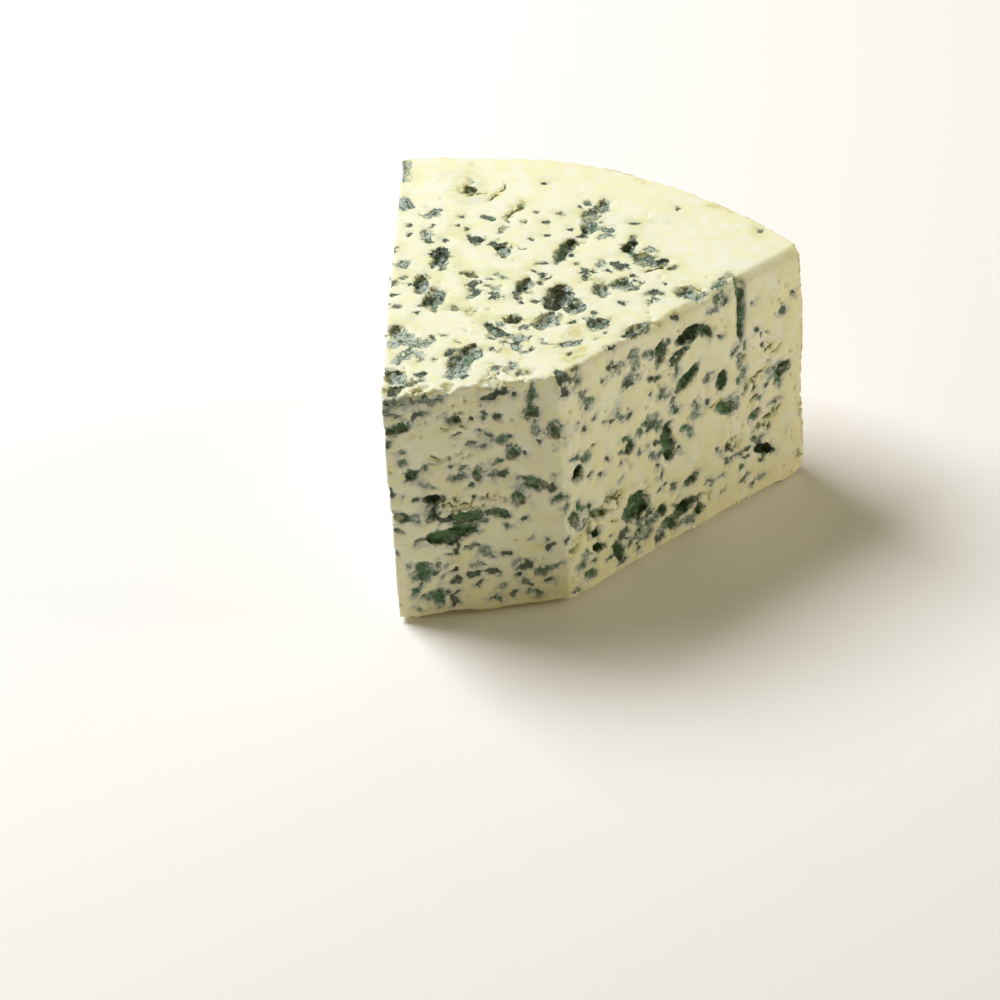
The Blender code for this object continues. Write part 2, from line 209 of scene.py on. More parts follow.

# %% [markdown]
# ## Where the mould grew
#
# Blue mould needs air, so it grows in the gaps between the lumps of curd. A knife cuts through
# those gaps anywhere, and each cut shows them as small ragged patches: slate blue where the mould
# is thick, green where it is young, nearly black in its darkest spots, a soft grey ghost where it
# lies just under the surface, and ochre where it stained the paste. Where a dark mark lies in a
# pocket, its black is painted shade at the bottom of the pocket. The solid already has the open
# pockets and the needle channels: the marks called mouth and channel line them with mould. Crack
# and torn are for curd that broke instead of being cut.
#
# A noise texture would scatter patches by itself, but they would be the same everywhere. So they
# are listed one by one, as one would dab them on with a brush: each mark is a short stroke, with
# its place along and up the cut, its length and width in millimetres, and its turn in degrees. The
# ragged edges come later, from noise. The top comes first.

# %% Marks on the top
TOP_MARKS = {
    "mouth": (
        (44, 59, 14, 9, 70), (50, 53, 8, 5, 70), (48, 87, 14, 4.5, 62), (33, 67, 8, 5, 60),
        (5.5, 87, 10, 6, 80), (-1.5, 72, 11, 4.5, 80), (2.5, 63, 12, 7, 75), (27, 89, 8, 5.5, -60),
        (28.5, 48, 6, 4, 10), (39, 46, 11, 7, 35), (21.5, 43.5, 9, 2.5, -60), (11.5, 27, 17, 8, 55),
        (-10, 46, 6, 5, -40), (-11.5, 20, 8, 6, -60), (62.5, 112, 9, 4.5, 80), (58, 106, 9, 5, 65),
        (57, 99.5, 8, 5, 65), (70, 86, 8, 3.5, 60), (76, 77, 12, 7, -35), (88, 56, 11, 6, -25),
        (66, 64, 8, 6, 10), (59, 62, 8, 5, 70), (56, 42, 8, 6, 10), (68.5, 38.5, 8, 3, 30),
        (-6, 142, 13, 5, 85), (17, 128, 5, 4, 0),
    ),
    "slate": (
        (-6.5, 122, 7, 4, -70), (3.5, 114.5, 6, 4, 20), (2, 101.5, 6, 3, 80), (5, 88, 4, 4, 0),
        (27, 89, 5, 5, 0), (41.5, 58.5, 10, 4, 80), (50, 53, 8, 5, 70), (24, 63, 4, 2, -40),
        (30, 37, 7, 2.5, -10), (29, 32.5, 6, 2, -50), (31, 29.5, 3, 2.5, -30), (47, 32, 7, 2.5, 15),
        (-8.5, 43.5, 8, 3.5, -20), (-7, 38.5, 13, 4, -5), (-2.5, 38, 3, 3, -50),
        (-12, 38, 4, 3.5, 0), (-7.5, 31.5, 9, 2, 45), (-3.5, 31, 5, 2, 90), (-9.5, 30, 6, 2, 80),
        (14.5, 30, 7, 5, 60), (9.5, 21, 10, 6, 50), (21, 21, 4, 3.5, -20), (26.5, 21, 5, 3, 80),
        (-13.5, 23, 3, 3, -60), (-14, 9.5, 8, 4, -40), (58.3, 108.5, 6, 4.5, 0),
        (57, 100, 6, 4, 65), (62.5, 98, 6, 3.5, -10), (62, 93.5, 4, 3, -10), (76, 77, 8, 4.5, -35),
        (59, 77, 5, 2.5, 80), (64.5, 64, 5, 2.5, -20), (68, 62.5, 4, 4, 0), (58.8, 62, 7, 4, 75),
        (87.5, 56, 9, 4.5, -25), (100.5, 63, 6, 3, 60), (58, 43, 4, 3, 30), (53.5, 42, 5, 2, -60),
        (69, 36.7, 4, 2, 0), (72.5, 39.5, 5, 2, 50), (36.5, 45.5, 4, 3, 20), (32, 42, 4, 2.5, 20),
        (23.5, 66.5, 2, 1.5, 0), (-7.5, 84, 5, 2.5, 60), (38, 34, 4, 1.2, -40), (77, 83.5, 4, 2, -20),
    ),
    # Dark marks are dark mould; those laid in the mouths of pockets paint the shade at their bottoms.
    "dark": (
        (1.2, 98, 2, 1.5, 0), (6.5, 98, 2.5, 1.5, 70), (-4.2, 103, 2, 1.5, 0),
        (18.3, 97, 3.5, 2.5, -10), (6.5, 91, 4, 2.5, -20), (7, 87.5, 3, 2.5, 0),
        (3.5, 87, 8, 1.5, 90), (5.5, 82, 5, 2, 90), (26, 93, 5, 1.8, -10), (29.3, 90, 1.5, 1.5, 0),
        (26.5, 86.8, 4, 1.8, -30), (-10, 93, 4, 1, 75), (-11, 72, 3, 1, 60), (15, 75.5, 4, 2, -30),
        (16.5, 70, 4, 2.5, 60), (15.5, 66, 2, 1.5, 0), (21.5, 73, 1.5, 1, 0), (17, 64.5, 4, 1.5, 60),
        (21.5, 64, 1.5, 1, 0), (22.5, 61, 2, 1.5, 0), (8.8, 57, 2.5, 2, 0),
        (14.5, 54.3, 2, 1.5, -30), (30.5, 61.5, 4, 1.5, 70), (39, 72.5, 1.5, 1, 60),
        (38.3, 68.3, 1.2, 1, 0), (37.2, 75.6, 1.2, 0.9, 0), (39.8, 80.3, 3, 2, -20),
        (44.5, 80.5, 2.5, 1.2, 60), (48.5, 56, 4, 2.2, 70), (25.5, 39.5, 6, 1.5, -30),
        (27, 35, 5, 1.5, -20), (34, 30.2, 3, 1, -10), (43, 31, 2.5, 1.5, 0), (8, 31, 4.5, 2.2, 70),
        (12.5, 24, 3, 2, 40), (11, 17, 3, 1.5, -40), (30, 17.5, 3, 2, -40), (-3.5, 20, 3, 1.5, 20),
        (-5, 17.5, 3, 2.5, -50), (-10, 14, 9, 3, 30), (62.3, 115.5, 3, 2, 80),
        (57.2, 114, 2.5, 2, 80), (54.5, 96, 5, 1.8, 60), (64.3, 97.5, 3, 2, -20),
        (72.2, 99.8, 1.5, 1, 0), (70.3, 90.2, 3, 1.5, 55), (68.5, 86, 4, 3, 60), (80, 76, 3, 3, -60),
        (82.6, 71.5, 2, 1.5, 0), (57, 73.5, 3, 1.8, 30), (61.5, 72.7, 3, 1.2, -30),
        (54, 70.5, 5, 2.5, -70), (64, 77, 2, 2, 60), (66.5, 73.5, 5, 1.2, 10), (66, 75, 6, 1.5, -30),
        (70.3, 65, 2, 2, -40), (69.7, 68, 3, 1.2, 75), (65.2, 52.7, 3, 2, -30),
        (75.5, 57, 3, 2.5, 20), (77.8, 56.5, 2, 2.5, 60), (74.8, 52.5, 3, 1, 30),
        (79.5, 62.3, 1.2, 1.2, 0), (66.5, 34.5, 4, 1.2, 0), (60.2, 28.3, 3, 1.2, -10),
        (64, 28, 3, 1.5, -50), (88, 108.2, 1.8, 1.5, 0), (114.2, 90.6, 1.6, 1.3, 0),
        (43, 129.2, 1.5, 1.2, 0), (17, 126.4, 4, 1.2, 0), (24, 94.3, 1.5, 1, 0),
    ),
    "green": (
        (27, 101.5, 3.5, 1.8, 65), (23.5, 109.5, 1.8, 1.2, 40), (29.5, 109.5, 3, 2, 30),
        (33.5, 115.5, 3.5, 2.5, 70), (26.8, 73, 3, 2, -20), (14.5, 63, 3, 2, 0),
        (24.5, 46, 3, 1.5, 0), (20.5, 39.5, 3, 2, -60), (57, 103, 6, 3, 65),
        (71, 81.5, 7, 2.5, -30), (97.5, 59, 4, 3, 60), (48, 87, 11, 4, 62), (-7, 142, 11, 4, 85),
    ),
    "ghost": (
        (42, 107.5, 5, 3, 45), (38, 111, 3, 2, 0), (50, 108.5, 6, 2.5, 10), (48.5, 112, 3, 2, 0),
        (-8, 91, 5, 1.5, -30), (-3.2, 84, 2, 2.5, 70), (-7, 78, 1.8, 1.5, 0), (18.5, 57, 3, 2, 0),
        (24, 19.5, 8, 2.5, 0), (-0.5, 28, 5, 2, -50), (78, 100.5, 4, 3, 0), (83, 100, 4, 3, 0),
        (71.3, 101.5, 6, 4, -10), (85, 84.5, 3, 2, 60), (92.5, 69.5, 4, 1.2, 0),
        (65.2, 52.7, 7, 5, -30), (78.5, 52.5, 5, 3, 0), (8, 140, 8, 3, 85), (11, 138, 7, 3, 90),
        (-5, 51.5, 6, 2.5, -30), (56, 42, 10, 8, 10), (17, 120, 10, 6, 20), (62.5, 112, 8, 5, 80),
        (74.5, 57, 8, 5, 20), (20, 130, 10, 5, -60), (60, 104, 14, 8, 65), (13, 137, 12, 1, 86),
        (15.5, 138, 11, 0.9, 88), (10, 134, 12, 1, 84), (18, 139, 9, 0.9, 90), (6, 137, 11, 0.9, 85),
    ),
    "ochre": (
        (31, 91, 6, 3, -60), (14.5, 136, 12, 0.9, 87), (17, 137, 9, 0.9, 89), (12, 133, 8, 0.9, 85),
        (17.5, 144.5, 5, 3, 90), (16, 134, 9, 2.5, 85), (20, 133, 8, 2, 100), (12, 121, 4, 2, 90),
        (14, 122, 4, 1.5, 90), (-3.5, 141, 7, 3, 90), (52, 91, 5, 3.5, 60), (52, 85, 3, 2, 60),
        (15.5, 77, 5, 3, -30), (9.5, 36, 3, 2, 0), (48, 38, 10, 6, 30), (48, 25, 12, 6, 35),
        (25, 30, 6, 5, 0), (-14, 18, 4, 3, 0), (-5, 27, 4, 3, 0), (76, 127, 5, 2.5, -35),
        (100, 107, 6, 3, -40), (105, 105, 5, 2, -40), (44, 65, 5, 3, 20), (33, 72, 5, 2, 60),
        (25, 122, 7, 4, 30), (27, 101.5, 4, 3, 65), (39, 64, 3, 2, 60), (101, 64, 5, 3, 60),
    ),
    "crack": (
        (31.5, 112.5, 9, 1.4, 55), (21, 126, 6, 1.2, -10), (25, 122, 7, 1.2, 30),
        (28, 127, 6, 1.2, 75), (59, 106, 5, 1.2, 0), (12, 56.2, 6, 1.4, -30),
        (25.5, 49, 3, 1.2, -20), (10.5, 37.2, 4, 1.1, -25), (74, 77.5, 7, 1.2, -20),
        (77, 71.8, 7, 1.5, 5), (58, 67.5, 4, 1.1, 0), (14, 127.5, 3, 1.2, 80),
    ),
    "torn": (
        (17, 129, 12, 7, 85), (52, 91, 6, 5, 60), (26, 17, 20, 5, 0), (-8, 14, 12, 6, -40),
    ),
}

# %% [markdown]
# The right cut has smaller and greener patches than the top, and a needle channel that runs down
# from its upper edge, near the rim.

# %% Marks on the right cut
RIGHT_MARKS = {
    "mouth": (
        (57.5, 83.5, 12, 5, 8), (64, 80.5, 8, 4, -55), (52, 77.5, 9, 3.5, 22), (44, 82, 9, 5, 80),
        (55.5, 66.5, 14, 4.5, 32), (70.5, 57.5, 9, 4.5, 90), (71.5, 45.5, 10, 4.5, -28),
        (45.5, 44.5, 15, 5, -82), (6, 52, 6.5, 4.5, 80), (30.5, 25, 11, 10, 60), (3.5, 34, 7, 4.5, 90),
        (13, 31, 8, 3, -25), (12.5, 23.5, 4.5, 3.5, 0), (13, 17, 5, 3.5, -35), (51.5, 13, 9, 5, 15),
        (45, 9.5, 8, 5, -30), (58.5, 8.5, 5, 4, -40), (42, 17, 5, 3.5, 80), (21.5, 10.5, 9, 4, -75),
        (89, 19, 7, 4, -30), (85.5, 35.5, 6.5, 4.5, 20), (98, 48, 8, 5, 40), (55.5, 23, 7, 3.5, 20),
        (28.5, 51, 6, 4, 75),
    ),
    "channel": ((79.6, 84, 30, 3.6, 90),),
    "slate": (
        (7, 90.5, 3, 2, 90), (26, 85.5, 4, 2.5, 10), (32.5, 84, 4, 3, -60), (29, 79.5, 5, 3, 0),
        (39, 57.5, 5, 3, 0), (41, 41, 4, 3, 0), (75, 46, 6, 5, 0), (67, 88.5, 5, 2, -15),
        (79, 62, 5, 3, 90), (43, 8.5, 5, 4, -30), (45, 11, 7, 4, 0), (52, 7, 8, 2.5, -10),
        (95, 50, 8, 2.5, -15), (80, 55, 4, 3, -60), (72, 92, 3, 3, 0), (8, 30, 5, 2.5, 0),
        (31, 23, 5, 4, 60), (13, 31, 6, 2.5, -25), (57, 50, 3, 2, 40), (33, 13, 9, 4.5, -35),
        (7, 16.5, 4, 2.5, 40),
    ),
    # Dark marks are dark mould; those laid in the mouths of pockets paint the shade at their bottoms.
    "dark": (
        (1.5, 93.5, 6, 5, 70), (2, 88, 4, 3, -50), (23, 86.5, 5, 3, -30), (28.5, 76.5, 4, 2.5, -20),
        (18.7, 66.5, 1.8, 1.4, 0), (28, 65.5, 2, 1.5, 0), (38, 54.5, 4, 3, 30), (99, 49.5, 4, 3, 40),
        (42.3, 32.7, 1.6, 1.4, -40), (70, 27, 1.5, 1.2, 0), (72.3, 27.2, 1.4, 1.2, 0),
        (73, 90, 2, 1.5, 0), (98.5, 72.8, 2.5, 2, 0), (23, 5.5, 3, 2.5, 0), (24.5, 16.5, 4, 3, 70),
        (81.8, 23.5, 1.2, 1.2, 0), (73.8, 26.6, 1, 1, 0), (6.3, 72.8, 1.5, 1.2, 0),
        (103.5, 77.8, 1.4, 1.2, -20), (89, 19, 7, 2.5, -20), (86, 22, 3, 1, 40),
        (92, 16.5, 3.5, 1, -20), (58.5, 54, 3.5, 1.2, 0), (58.5, 54, 3.5, 1.2, 90),
        (87, 30.3, 4, 1.6, 10), (45.5, 50, 4, 3, 80), (57, 13, 5, 2.5, 30), (49, 15, 4, 2, 60),
        (57.5, 83, 8, 2.4, 20), (51, 77, 8, 2.2, 32), (44, 84, 5, 2.4, 80), (70.5, 59.5, 4, 2, 90),
        (36, 19, 4, 2, 30), (29.5, 13, 3, 1.5, 60), (10.5, 12, 2, 1.5, 60), (41, 6, 4, 2, 20),
    ),
    "green": (
        (8.5, 82.5, 4, 1.5, -60), (12, 78.5, 4, 2.5, -10), (19, 84, 2, 1.5, 0),
        (22.5, 89.5, 2, 1.5, 0), (31.5, 87, 4, 2, 90), (32, 82.2, 2, 1.5, 0), (32.7, 88.8, 1.6, 1.3, 0),
        (33, 78.5, 2, 2, 0), (38.5, 84.3, 4, 2, -10), (26, 66, 4, 1.8, -20), (23.5, 67.5, 3, 1.2, -40),
        (4.5, 59.5, 4, 2.5, 20), (8.5, 58, 4, 2.5, -35), (36.5, 57, 3, 1.5, 90), (34, 55, 4, 2.5, 0),
        (41.5, 53, 3, 2.5, -20), (27.5, 54.5, 5, 2, -20), (25, 51.5, 1.5, 1, 0),
        (42.5, 73, 4, 2.5, 20), (50.3, 71.5, 4, 1.5, 80), (44, 66, 3.5, 3, 60), (45.5, 64.5, 3, 2, -20),
        (48.5, 56, 4, 2.2, -10), (48, 60, 2, 1.2, 60), (38, 43, 2.5, 1.5, -60), (33, 47, 1.6, 1.5, 0),
        (36, 47.5, 1.2, 1, 0), (53.5, 46, 3.5, 2, -25), (55.5, 43.5, 3, 3, -30), (59, 48, 2.2, 2, -30),
        (64.5, 62, 3, 2.5, 30), (81.5, 57, 3, 2, -30), (78, 54, 3, 2, 90), (82, 49.5, 2.5, 2, 0),
        (96, 44.5, 3, 3, -50), (93, 47, 2, 1.2, 0), (87, 42, 2, 1.2, -20), (95, 36.5, 4, 1.3, 20),
        (69.5, 91.5, 3, 3, 60), (78, 68, 2, 1.5, 0), (82, 67, 1.5, 1.5, 0), (47.5, 85.5, 1.5, 1.5, 0),
        (6.5, 38, 5, 2.5, -60), (9.5, 36, 3, 3, -50), (15.5, 29.5, 3, 1.5, -20), (41, 32, 2, 1.2, 0),
        (27, 22, 4, 3, 0), (35, 22, 3, 1.5, 0), (21, 12.5, 5, 3, 70), (22.5, 8, 6, 2, 90),
        (32, 18.5, 4, 1.2, -30), (35.5, 14.5, 6, 1.6, -50), (37, 10.5, 3, 1.1, -20),
        (30, 8, 4, 1.6, 90), (48, 16, 3, 1.5, -40), (57, 14, 5, 1.6, -15), (47.5, 24.5, 3, 2.5, -40),
        (57.5, 24.5, 2.5, 2, 30), (64, 18.5, 2.5, 1.3, -30), (64.5, 16.8, 2, 1.2, -50),
        (68.5, 17.8, 2.5, 1.3, -25), (72.5, 22.8, 3, 1.1, -25), (77, 23.5, 4, 1.1, 0),
        (77.8, 16.2, 2, 1.5, -40), (85, 25.5, 3, 1.1, -40), (80.5, 11, 3.5, 1.8, 20),
        (69.8, 11, 1.5, 1.3, 0), (87.5, 8, 2, 1, -30), (30.5, 26, 7, 6, 60), (74, 44, 5, 3, 60),
        (39, 16, 6, 3.5, 30), (26.5, 12, 4, 3, 70), (5, 12, 4.5, 2.5, 60), (9.5, 7.5, 3.5, 2, -30),
        (3, 4.5, 3, 1.5, 20),
    ),
    "ghost": (
        (5, 85, 5, 2.5, -20), (7, 90.5, 4, 3, 90), (11.5, 75.5, 4, 2.5, 20), (8.5, 66, 4, 2, -45),
        (26, 85.5, 5, 3, 10), (32.5, 84, 5, 4, -60), (29, 79.5, 6, 4, 0), (20, 56.5, 3, 2, 60),
        (39, 57.5, 8, 6, 0), (41, 41, 6, 5, 0), (75, 46, 9, 8, 0), (93.5, 91, 3, 2.5, 0),
        (93, 82, 3, 2, 90), (85.5, 74.5, 2, 2, 0), (67, 88.5, 6, 3, -15), (79, 69, 8, 6, 90),
        (78.5, 62, 9, 4, 90), (53.5, 92, 3, 2, -60), (8, 32.5, 6, 5, 0), (53, 34, 4, 2, -30),
        (11, 19, 3, 2, 90), (28, 16.5, 6, 5, 0), (52, 7, 9, 4, -10), (53, 22, 6, 4, 0),
        (76, 10.5, 4, 1.5, -20), (92, 25, 4, 1.5, 0), (99.5, 24.5, 3, 1.5, 90),
        (99.5, 20.5, 3, 1.5, 0), (2, 69, 9, 4, 70), (72, 92, 5, 5, 0), (95, 50, 11, 6, -15),
        (74, 27, 7, 4, 0), (27, 65, 7, 4, -20), (46, 66, 6, 4, 0), (36, 12, 9, 6, -40),
        (23, 70, 10, 5, 60), (62, 50, 8, 6, 20), (88, 24, 9, 5, 20), (50, 60, 7, 4, 20),
    ),
    "ochre": (
        (34, 9, 4, 4, 0), (94, 33, 3, 2, 0), (77.5, 30, 3, 1.5, -10), (68.5, 49.8, 3, 2.5, 0),
        (41.8, 57.5, 3, 1.8, -70), (64, 57.5, 2.5, 2, 40), (84, 41, 3, 3, 0), (29, 43, 2, 2, 0),
        (29, 34, 2, 1.5, 90), (5, 26, 8, 3, 20), (24, 34, 6, 3, 20), (86, 53, 9, 2, 12),
        (17, 31, 5, 2, 50), (66, 49.5, 6, 2, 10), (61, 14, 4, 2, 20),
    ),
    "crack": (
        (13, 59.6, 5, 1.1, 15), (66.5, 49, 6, 1.1, 10), (86.5, 51.8, 10, 1.3, 12),
        (91, 31.5, 5, 1.3, 10), (24, 32.7, 4, 1.1, 30), (22, 32.5, 2.5, 1.1, -20),
        (20.5, 24.5, 3, 1, -20), (8, 27, 6, 1, 40), (3, 22, 4, 1, 60), (92, 61, 5, 0.9, 20),
        (95, 58.5, 4, 0.9, 10), (85, 43, 5, 0.9, 35), (97, 33, 3, 0.9, 60), (81, 62, 3, 0.9, 70),
    ),
    "torn": (
        (18, 31, 14, 6, 15), (88, 27, 10, 4, 15), (76, 29, 7, 5, 0), (84, 48, 10, 4, 20),
        (60, 12, 10, 4, 10),
    ),
}

# %% [markdown]
# The front is short. Its patches lie nearly level, the largest of them low on its left side, and a
# shorter needle channel starts at its upper edge.

# %% Marks on the front
FRONT_MARKS = {
    "mouth": (
        (14.3, 50.3, 5.5, 5, 0), (14, 45, 7, 6, 80), (19.5, 35, 18, 6.5, 12), (25, 42, 12, 6, 10),
        (4, 80.5, 10, 4, 20), (23.5, 81.7, 5.5, 2.8, 0), (42, 66, 7, 4, 60), (56, 73.5, 7, 5, 80),
        (8, 61.5, 6, 4, 20), (48.5, 53, 12, 3, -28), (43.5, 47, 6, 4, -35), (36, 41.5, 9, 3, -12),
        (30, 59, 6, 4, 80), (3, 44, 8, 4.5, 0),
    ),
    "channel": ((49.2, 86, 13, 2.6, 90), (49.4, 82, 5, 3.8, 90)),
    "slate": (
        (1, 91, 8, 3, 5), (10, 91.5, 14, 3, 0), (18, 91, 6, 2.5, 0), (12, 57, 4, 2, -30),
        (30, 59.5, 4, 2, 90), (35.5, 58, 3.5, 2.5, 70), (41.5, 67, 4, 3, 60), (43, 50.5, 2.5, 1.5, 0),
        (24.5, 58.5, 3, 2.5, -20), (8, 43.5, 4, 3.5, -50), (43.5, 46, 4, 3, -35), (50, 74, 3, 2, 80),
    ),
    # Dark marks are dark mould; those laid in the mouths of pockets paint the shade at their bottoms.
    "dark": (
        (36, 90.5, 8, 2, 5), (40.5, 91.5, 2, 2, 0), (10.5, 84.5, 3, 1.5, 60),
        (19.8, 84.5, 1.4, 1.2, 0), (29, 82, 1.4, 1.2, 0), (38, 81.8, 2, 1.8, 0), (50.5, 69, 2, 1.8, 0),
        (38.5, 58.8, 3, 1.8, 90), (53.5, 50.5, 3, 2, 0), (15.5, 42.5, 2, 2, 0), (10, 51, 2, 1.2, 10),
        (18, 50.3, 2, 1.1, 0), (18, 41, 3, 1.1, 0), (14.3, 50.3, 4, 3.5, 0), (14.5, 45, 4, 2, 80),
        (4, 91.5, 4, 2, 10),
    ),
    "green": (
        (3, 86.5, 7, 1.3, -10), (13.5, 86.2, 3, 1.8, 15), (6, 82, 3, 2, 20), (0.5, 76, 3, 2, 90),
        (32.5, 82, 2, 1.2, -30), (47, 83, 1.6, 1.2, 90), (29, 72.3, 2.5, 1.5, 10),
        (32, 70.8, 1.6, 1.2, 0), (34.3, 74.3, 2, 1.5, 60), (38.5, 72, 3.5, 3, 0),
        (43.5, 66.5, 1.6, 1.5, 0), (37, 63.3, 3, 1.1, 0), (5.5, 71.3, 1.6, 1.2, 0),
        (5.5, 66.5, 3, 3, 60), (12, 63.5, 2.5, 2, 30), (14, 55.5, 2, 1.5, 0), (22.5, 58, 3, 2, 0),
        (25.3, 61.3, 2, 1.3, 0), (32, 59.5, 2, 2, 0), (43, 55.5, 3, 1.3, -30), (47, 54.5, 3, 2, 60),
        (49.5, 52, 5, 1.8, -15), (2, 44.5, 4, 3, 0), (2.5, 39, 2, 1.3, 0), (9, 33.5, 3, 2.5, 20),
        (22, 43, 3, 1.1, -10), (30, 43, 5, 1.5, -20), (28.5, 38.5, 3, 1.5, 0), (30.5, 39, 1.6, 1.2, 0),
        (56.5, 45, 4, 4, 60), (58, 40.5, 3, 1.6, 90), (40, 36, 2, 1.2, 0), (0.5, 28.5, 2, 1.3, 0),
        (5.5, 24, 2, 1.2, 0), (56, 73, 5, 3, 80), (47, 51, 6, 2, -28),
    ),
    "ghost": (
        (18, 91, 9, 4, 0), (52, 74.5, 4, 3, 0), (58, 68, 8, 3, 70), (48, 43, 3, 3, 0),
        (49, 79, 8, 4, 90), (10, 88, 14, 3, 0), (30, 60, 8, 5, 40), (45, 52, 12, 6, -25),
        (12, 60, 8, 5, 30), (33, 73, 8, 5, 20), (4, 70, 6, 4, 60), (24, 58, 7, 4, 0),
        (36, 88, 8, 3, 0), (7, 44, 8, 5, 20), (40, 47, 8, 4, -20),
    ),
    "ochre": (
        (26.5, 78.5, 3, 1.2, -20), (18, 66, 5, 1.6, 0), (25, 47, 6, 1.4, -15), (24, 49, 3, 2, 90),
        (16, 67.5, 4, 1.4, -20), (27, 45, 8, 3, 10), (35, 50, 6, 3, 30), (10, 77, 5, 2, 0),
    ),
    "crack": (
        (16, 67.5, 4, 1.1, -20), (26.5, 78.5, 3, 1, -20), (25, 47, 5, 1.1, -15), (20, 79, 4, 1, 5),
    ),
    "torn": (
        (24, 47, 16, 6, -8), (25, 67, 10, 5, 20), (34, 49, 12, 4, -15),
    ),
}

# %% [markdown]
# ## Where no one looked
#
# The left cut has no marks listed one by one, and neither has the lowest part of the front. They
# get marks by a rule that gives the same mix: many small ones and few large ones, none close to
# the rim, because the mould dies out there, and none that overlap. They crowd together and lean
# the same way where the curd was loosest, which a slow noise decides. The rule draws from a seeded
# generator, so the cheese is the same on every run. It also strews the finest specks over all the
# cuts.

# %% Marks by a rule
MARK_SEED = 11
CLEAR_OF_RIND = 20
KIND_SHARES = (("green", 0.38), ("slate", 0.2), ("dark", 0.2), ("ghost", 0.16), ("ochre", 0.06))
SMALLEST_MARK = 1.6
LARGEST_MARK = 9
MOSTLY_SMALL = 2.6
MARK_SLIMNESS = (0.3, 0.7)
CROWD_LENGTH = 15
CROWDING = (-0.45, 0.25)
MEAN_TURN = 40
TURN_SWING = 90
TURN_SPREAD = 18
SPECK_SIZES = (0.7, 1.5)
SPECK_SLIMNESS = (0.6, 1)

# An area of a cut is given by its left, lower, right and upper limits.
LEFT_RUN = np.linalg.norm(np.subtract(FRONT_CORNER, rim_point(RIM_LEFT_ANGLE)))
LEFT_AREA = (CLEAR_OF_RIND, 5, LEFT_RUN - 3, WEDGE_HEIGHT - 4)
LEFT_TRIES, LEFT_SPACING = 900, 1.7
LOW_FRONT_AREA = (3, 4, 55, 29)
LOW_FRONT_TRIES, LOW_FRONT_SPACING = 180, 1.9
LEFT_SPECKS = ((CLEAR_OF_RIND, 4, LEFT_RUN, 90), 80)
SPECKS = {
    "top": ((-12, 12, 62, 115), 70),
    "right": ((0, 4, 95, 93), 60),
    "front": ((0, 4, 58, 90), 40),
}


def scatter_marks(draw, area, tries, spacing):
    """Marks spread over an area of a cut."""
    left, low, right, high = area
    marks = {kind: [] for kind, share in KIND_SHARES}
    kinds, shares = zip(*KIND_SHARES)
    placed = []
    for _ in range(tries):
        along, up = draw.uniform(left, right), draw.uniform(low, high)
        length = SMALLEST_MARK + (LARGEST_MARK - SMALLEST_MARK) * draw.random() ** MOSTLY_SMALL
        width = length * draw.uniform(*MARK_SLIMNESS)
        slow = noise.noise_vector(Vector((along, up, 0)) / CROWD_LENGTH)
        turn = MEAN_TURN + TURN_SWING * slow.x + draw.gauss(0, TURN_SPREAD)
        kind = draw.choices(kinds, shares)[0]
        room = all(
            math.hypot(along - x, up - y) > spacing + (length + size) / 4 for x, y, size in placed
        )
        if room and slow.y > draw.uniform(*CROWDING):
            placed.append((along, up, length))
            marks[kind].append((along, up, length, width, turn))
    return marks


def scatter_specks(draw, area, count):
    """The finest specks of mould."""
    left, low, right, high = area
    specks = []
    for _ in range(count):
        size = draw.uniform(*SPECK_SIZES)
        place = (draw.uniform(left, right), draw.uniform(low, high))
        specks.append((*place, size, size * draw.uniform(*SPECK_SLIMNESS), draw.uniform(0, 180)))
    return specks


def add_marks(marks, more):
    """Add marks to a cut's own, kind by kind."""
    return {kind: tuple(marks.get(kind, ())) + tuple(more.get(kind, ())) for kind in {**marks, **more}}


draw = random.Random(MARK_SEED)
MARKS = {"top": TOP_MARKS, "right": RIGHT_MARKS, "front": FRONT_MARKS}
for name, (area, count) in SPECKS.items():
    MARKS[name] = add_marks(MARKS[name], {"dark": scatter_specks(draw, area, count)})
MARKS["left"] = scatter_marks(draw, LEFT_AREA, LEFT_TRIES, LEFT_SPACING)
low_front = scatter_marks(draw, LOW_FRONT_AREA, LOW_FRONT_TRIES, LOW_FRONT_SPACING)
MARKS["front"] = add_marks(MARKS["front"], low_front)
MARKS["left"]["dark"] += scatter_specks(draw, *LEFT_SPECKS)
for name, marks in MARKS.items():
    print(name, {kind: len(places) for kind, places in marks.items()})

# %% [markdown]
# ## Noise and distances
#
# A few small tools. `smooth` is a step with soft ends. `grain` gives smooth noise in lumps of a
# chosen size, and `wander` gives a push its own way to each point. A seed moves the noise to a
# place of its own, so that no two noises match. `inside` tells how far inside the nearest mark a
# point lies, in millimetres, and gives a negative number outside all of them: such a signed
# distance can be bent by noise and still cut off cleanly, which is what makes ragged but crisp
# edges. `rind_distance` does the same for the rind, and `swell` gives the gentle waves that the
# faces of the solid have.

# %% Noise and distances
FAR = 40.0
SEED_STEP = Vector((7.3, 3.1, 5.7))
MARK_MARGIN = 6
TINY = 1e-6
SWELL_LENGTH = 26 * MM
CUT_SWELL = 0.5
RIND_SWELL = 1.0


def smooth(value, low, high):
    """0 below low, 1 above high, and a smooth step between them."""
    share = np.clip((value - low) / (high - low), 0, 1)
    return share * share * (3 - 2 * share)


def noise_places(points, size, seed):
    """Where each point falls in a noise with lumps of that size."""
    shift = SEED_STEP * seed
    return [Vector(point) / size + shift for point in points]


def grain(points, size, seed=0):
    """Noise between about -1 and 1 at each point, in lumps of about that size."""
    return np.array([noise.noise(place) for place in noise_places(points, size, seed)])


def wander(points, size, seed=0):
    """A noise that pushes each point its own way."""
    return np.array([noise.noise_vector(place) for place in noise_places(points, size, seed)])


